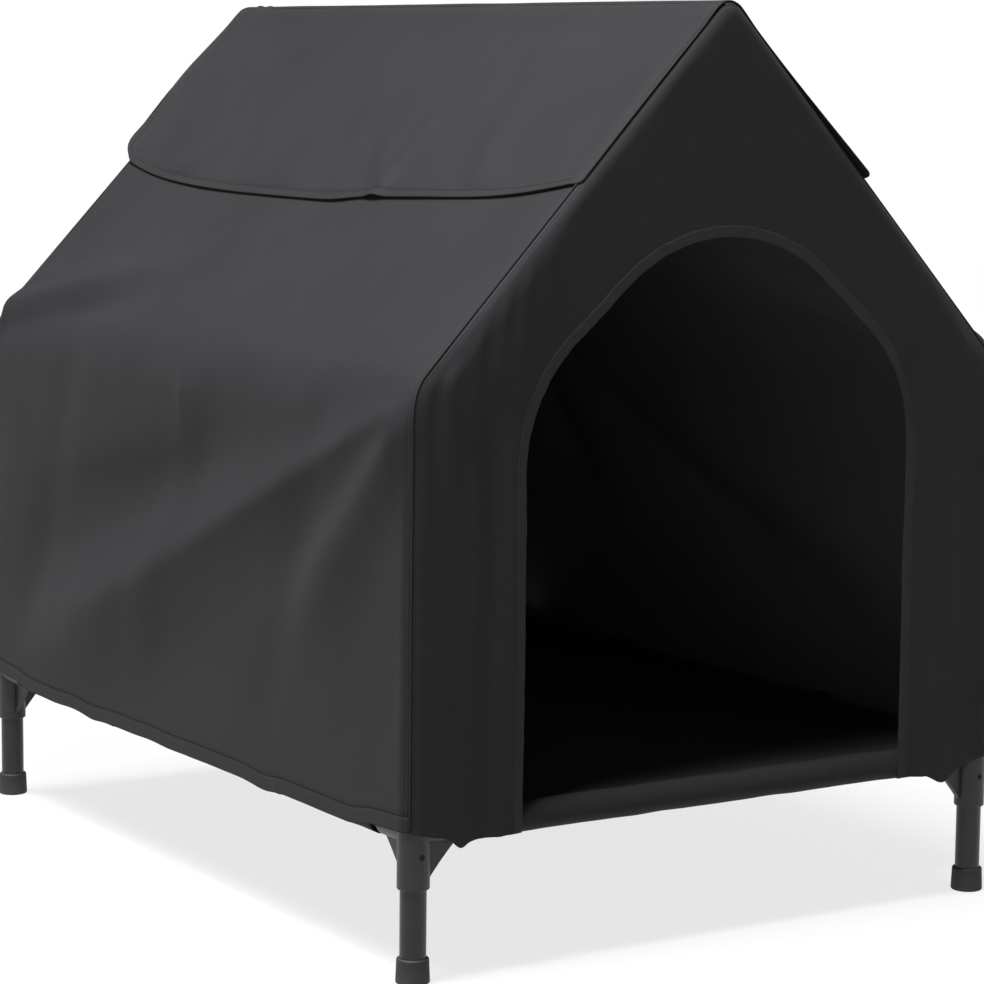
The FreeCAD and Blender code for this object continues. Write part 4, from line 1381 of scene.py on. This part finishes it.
def flap_place(side, front, rear, front_lift, front_hug, rear_curl):
    """A flap on one side. front and rear give the places of its end edges at the ridge and at the lower
    corner. At that corner the front edge lifts by front_lift or bends round the gable tube by the share
    front_hug, and the rear edge curls up by rear_curl."""
    def place(y, down):
        drop = flap_drop(y)
        run = down / FLAP_LENGTH * (FLAP_ARC + drop)
        angle = FLAP_START + np.clip(run, 0, FLAP_ARC) / FLAP_OUT
        along = np.maximum(run - FLAP_ARC, 0)
        rest = along / drop
        x = FLAP_OUT * np.sin(angle) + math.cos(PITCH) * along
        z = APEX_Z + FLAP_OUT * np.cos(angle) - math.sin(PITCH) * along
        front_y = front[0] + (front[1] - front[0]) * smooth_step(*FRONT_EDGE_SPAN, rest)
        rear_y = rear[0] + (rear[1] - rear[0]) * smooth_step(*REAR_EDGE_SPAN, rest)
        edge = np.minimum(FLAP_HALF - np.abs(y), (1 - down / FLAP_LENGTH) * drop)
        sag = ROOF_SAG * drape_at(y) * np.sin(math.pi * along / side_lengths(y)[0]) ** 2
        height = flap_lift(y) * rest ** LIFT_POWER + flap_folds(y, along) * smooth_step(*FLAP_FOLD_SPAN, edge)
        height = height - FLAP_FOLLOW * sag
        height += RIDGE_PUFF * smooth_step(*RIDGE_PUFF_SPAN, along)
        height += front_lift * smooth_step(*FRONT_LIFT_SPAN, -y) * rest ** 2 + hem_relief(edge, FLAP_HEM)
        height += rear_curl * rest * smooth_step(FLAP_HALF - CURL_REACH, FLAP_HALF, y)
        y_line = front_y + (rear_y - front_y) * (y / FLAP_HALF + 1) / 2
        wrap = front_hug * rest * np.maximum(-y_line - HALF_Y, 0) / FLAP_OUT
        height -= FLAP_OUT * (1 - np.cos(wrap))
        height += SEAM_RISE * (1 - SEAM_RISE_FADE * rest) * bump_at(y_line, ROOF_SEAM_Y, SEAM_RISE_W)
        normal = np.stack([np.sin(angle), np.zeros_like(y), np.cos(angle)], 1)
        points = np.stack([x, y_line, z], 1)
        return (points + normal * height[:, None]) * np.array([side, 1.0, 1.0])
    return place


left_flap = flap_place(-1, front=(-0.4572, -0.4575), rear=(0.4920, 0.4690), front_lift=0.0, front_hug=1.0,
                       rear_curl=0.0080)
right_flap = flap_place(1, front=(-0.4555, -0.4600), rear=(0.4700, 0.4685), front_lift=0.0030, front_hug=0.0,
                        rear_curl=0.0)
flap_columns = spaced(mirrored([-FLAP_HALF, -FLAP_HALF + EDGE_STEP] + fine(-FLAP_HALF + FLAP_HEM)), STEP)
flap_stops = [0.0, FLAP_ARC] + fine(FLAP_LENGTH - FLAP_HEM) + [FLAP_LENGTH - EDGE_STEP, FLAP_LENGTH]
flap_rows = spaced(flap_stops, STEP)


def sew_flap(name, place):
    """Stitches along a flap's two ends and its lower edge."""
    reach = FLAP_HALF - FLAP_HEM
    fall = np.linspace(FLAP_SEWN, FLAP_LENGTH - FLAP_HEM, FLAP_END_POINTS)
    lines = [sewn_line(place, side * reach, fall) for side in (-1, 1)]
    level = np.linspace(-reach, reach, LONG_SEAM_POINTS)
    lines.append(sewn_line(place, level, FLAP_LENGTH - FLAP_HEM))
    return sew(name, lines)


for hand, side, place in (("left", -1, left_flap), ("right", 1, right_flap)):
    hinge = Vector((side * FLAP_OUT * math.sin(HINGE_ANGLE), 0, APEX_Z + FLAP_OUT * math.cos(HINGE_ANGLE)))
    bent = hinge + BEND_REACH * Vector((side * math.cos(PITCH), 0, -math.sin(PITCH)))
    flap = make_cloth("roof_flap_" + hand + "_cloth", flap_columns, flap_rows, place, (side, 0, 1),
                      thickness=FLAP_T, finishes=(cover_finish, cover_finish))
    threads = sew_flap("roof_flap_" + hand + "_stitches", place)
    "flap_" + hand
    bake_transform(flap)
    "flap_" + hand
    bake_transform(threads)
    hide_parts("roof_flap_" + hand)
    "cover_" + hand + "_cloth"

# %% [markdown]
# The ridge band is a strip of the same cloth that covers the start of both flaps.

# %% Ridge band
BAND_T = 0.0009
BAND_OUT = FLAP_OUT + RIDGE_PUFF + BAND_T
BAND_ANGLE = math.radians(27)
BAND_FRONT = -0.4545
BAND_REAR = 0.4900
BAND_SINK = 0.0007
BAND_SINK_SPAN = (0.6, 1.0)
BAND_WAVE = 0.0002
BAND_STEP = 0.008
BAND_ROWS = 25
band_columns = spaced([BAND_FRONT, BAND_REAR], BAND_STEP)
band_angles = np.linspace(-BAND_ANGLE, BAND_ANGLE, BAND_ROWS)


def ridge_strip(y, angle):
    radius = BAND_OUT - BAND_SINK * smooth_step(*BAND_SINK_SPAN, np.abs(angle) / BAND_ANGLE)
    radius = radius + BAND_WAVE * waves(y, length=0.3, seed=4)
    return np.stack([-radius * np.sin(angle), y, APEX_Z + radius * np.cos(angle)], 1)


band = make_cloth("ridge_band_cloth", band_columns, band_angles, ridge_strip, (0, 0, 1), thickness=BAND_T,
                  finishes=(cover_finish, cover_finish))
settle(band, "house", ["ridge_band"])

# %% [markdown]
# ## Vents
# Under each flap the roof has a long opening with mesh sewn in from below. The mesh follows the same roof
# just under the cloth, hangs a little in the middle, and its cells are cut out by the material.

# %% Vent mesh
MESH_LAP = 0.007
MESH_T = 0.0006
MESH_GAP = 0.0003
MESH_DIP = 0.0025
MESH_DIP_REACH = 0.05
MESH_STEP_ALONG = 0.012
MESH_STEP_DOWN = 0.008
mesh_columns = spaced([-VENT_HALF - MESH_LAP, VENT_HALF + MESH_LAP], MESH_STEP_ALONG)
mesh_rows = spaced([vent_start - MESH_LAP, vent_end + MESH_LAP], MESH_STEP_DOWN)


def left_mesh(y, down):
    points, normal, _ = side_base(y, down)
    dip = MESH_DIP * smooth_step(0.0, MESH_DIP_REACH, -vent_distance(y, down)) + CLOTH_T + MESH_GAP
    return points - normal * dip[:, None]


for hand, place, facing in (("left", left_mesh, (-1, 0, 1)), ("right", half_turn(left_mesh), (1, 0, 1))):
    vent = make_cloth("roof_vent_" + hand + "_mesh", mesh_columns, mesh_rows, place, facing, thickness=MESH_T,
                      finishes=(mesh_finish, mesh_finish))
    settle(vent, "house", ["roof_vent_mesh_" + hand])
    "cover_" + hand + "_cloth"

# %% [markdown]
# ## Sling mat
# The bed is one cloth with a sleeve on each side that a rail goes through. Its corners are cut out for
# the connectors, and it sags a little between the rails.

# %% Mat
MAT_R = 0.0146
MAT_TOP = math.radians(58)
MAT_WRAP = math.radians(285)
MAT_EDGE = MAT_R * math.sin(MAT_TOP)
MAT_LAP = MAT_R * (MAT_TOP + MAT_WRAP)
MAT_OVER = MAT_LAP - MAT_EDGE
MAT_NOTCH = 0.055
MAT_SAG = 0.012
MAT_SAG_POWER = 0.7
MAT_BULGE = 0.0005
MAT_RIPPLE = 0.0015
MAT_RIPPLE_LEAN = 0.5
MAT_SEAM = 0.0016
MAT_SEAM_W = 0.003
MAT_FINE = 0.002
MAT_STEP = 0.0045
MAT_FLAT = (2 * (HALF_X + MAT_OVER), 2 * (HALF_Y + MAT_OVER))
MAT_CUT = 4 * (MAT_NOTCH + MAT_OVER) ** 2


def sleeve(value, half):
    """Where a line across the mat is, how far it has turned round the rail at its end, and how far it is
    inside the sleeve's seam. The sleeve leaves the flat mat at an angle of MAT_TOP inside the rail's top."""
    flat = half - MAT_EDGE
    angle = np.maximum(np.abs(value) - flat, 0) / MAT_R - MAT_TOP
    reach = np.where(np.abs(value) > flat, half + MAT_R * np.sin(angle), np.abs(value))
    return np.sign(value) * reach, angle, np.maximum(flat - np.abs(value), 0)


def sling(a, b):
    x, angle_x, inside_x = sleeve(a, HALF_X)
    y, angle_y, inside_y = sleeve(b, HALF_Y)
    inside = np.minimum(inside_x, inside_y)
    hollow = np.clip(1 - (a / HALF_X) ** 2, 0, 1) * np.clip(1 - (b / HALF_Y) ** 2, 0, 1)
    turned = np.maximum(angle_x, angle_y)
    bulge = MAT_BULGE * waves(a + b, length=0.11, seed=6) * smooth_step(-MAT_TOP, 0.0, turned)
    ripple = MAT_RIPPLE * waves(a + MAT_RIPPLE_LEAN * b, length=0.21, seed=3) * hollow
    z = RAIL_Z + (MAT_R + bulge) * np.cos(turned) - MAT_SAG * hollow ** MAT_SAG_POWER
    z += ripple - MAT_SEAM * bump_at(inside, 0.0, MAT_SEAM_W)
    return np.stack([x, y, z], 1)


def mat_notch(a, b):
    return (np.abs(a) > HALF_X - MAT_NOTCH) & (np.abs(b) > HALF_Y - MAT_NOTCH)


def sleeve_stops(half):
    flat = half - MAT_EDGE
    stops = [half - MAT_NOTCH, flat - 2 * MAT_FINE, flat - MAT_FINE, flat, flat + MAT_FINE, flat + MAT_LAP]
    return [-stop for stop in reversed(stops)] + stops


mat_columns = spaced(sleeve_stops(HALF_X), MAT_STEP)
mat_rows = spaced(sleeve_stops(HALF_Y), MAT_STEP)
mat = make_cloth("bed_mat_cloth", mat_columns, mat_rows, sling, (0, 0, 1), hole=mat_notch,
                 finishes=(mat_finish, mat_finish))
settle(mat, "house", ["bed_mat"])
MAT_FLAT[0] * MAT_FLAT[1] - MAT_CUT

# %% [markdown]
# ## Hem straps
# Short straps inside the hem go under the rails and hold the cover down. One is drawn round the left
# rail, and the others are the same strap turned and moved, two to a side.

# %% Straps
STRAP_W = 0.026
STRAP_R = 0.0156
STRAP_SINK = 0.0004
STRAP_HANG = 0.0024
STRAP_T = 0.0008
STRAP_TAB = 0.0150
STRAP_EDGE = 0.003
STRAP_RELIEF = 0.0002
STRAP_STEP = 0.0022
STRAP_COLUMNS = 11
STRAP_SWEEP = math.radians(180)
STRAP_LENGTH = STRAP_TAB + STRAP_R * STRAP_SWEEP
SIDE_STRAP_Y = 0.185
FRONT_STRAP_X = 0.250
REAR_STRAP_X = 0.160
strap_columns = np.linspace(-STRAP_W / 2, STRAP_W / 2, STRAP_COLUMNS)
strap_rows = spaced([0.0, STRAP_TAB, STRAP_LENGTH], STRAP_STEP)


def strap_path(w, run):
    """A strap round a rail that lies along the second axis, with its tab on the -x side."""
    angle = np.maximum(run - STRAP_TAB, 0) / STRAP_R
    edge = hem_relief(STRAP_W / 2 - np.abs(w), STRAP_EDGE, STRAP_RELIEF, STRAP_RELIEF)
    radius = STRAP_R - STRAP_SINK + edge
    x = -radius * np.cos(angle)
    z = -(radius + STRAP_HANG) * np.sin(angle) + np.maximum(STRAP_TAB - run, 0)
    return np.stack([x, w, z], 1)


def strap_at(side, centre, turned):
    def place(w, run):
        p = strap_path(w, run) * np.array([side, 1.0, 1.0])
        if turned:
            p = p[:, [1, 0, 2]]
        return p + np.array(centre)
    return place


def from_rail(centre, turned):
    """Directions from the rail's middle line, along x where the strap is turned and along y elsewhere."""
    lengthwise = 0 if turned else 1

    def facing(points):
        away = points - np.array(centre)
        away[:, lengthwise] = 0
        return away
    return facing


strap_places = (
    ("left", 1.0, False, [(-HALF_X, -SIDE_STRAP_Y, RAIL_Z), (-HALF_X, SIDE_STRAP_Y, RAIL_Z)]),
    ("right", -1.0, False, [(HALF_X, -SIDE_STRAP_Y, RAIL_Z), (HALF_X, SIDE_STRAP_Y, RAIL_Z)]),
    ("front", 1.0, True, [(-FRONT_STRAP_X, -HALF_Y, RAIL_Z), (FRONT_STRAP_X, -HALF_Y, RAIL_Z)]),
    ("rear", -1.0, True, [(-REAR_STRAP_X, HALF_Y, RAIL_Z), (REAR_STRAP_X, HALF_Y, RAIL_Z)]),
)
for name, side, turned, centres in strap_places:
    pair = []
    for centre in centres:
        pair.append(make_cloth("hem_strap_" + name, strap_columns, strap_rows, strap_at(side, centre, turned),
                               from_rail(centre, turned), thickness=STRAP_T,
                               finishes=(tape_finish, tape_finish)))
    bpy.ops.object.select_all(action="DESELECT")
    for strap in pair:
        strap.select_set(True)
    bpy.context.view_layer.objects.active = pair[0]
    bpy.ops.object.join()
    pair[0].name = "hem_straps_" + name + "_webbing"
    settle(pair[0], "house", ["hem_straps_" + name])
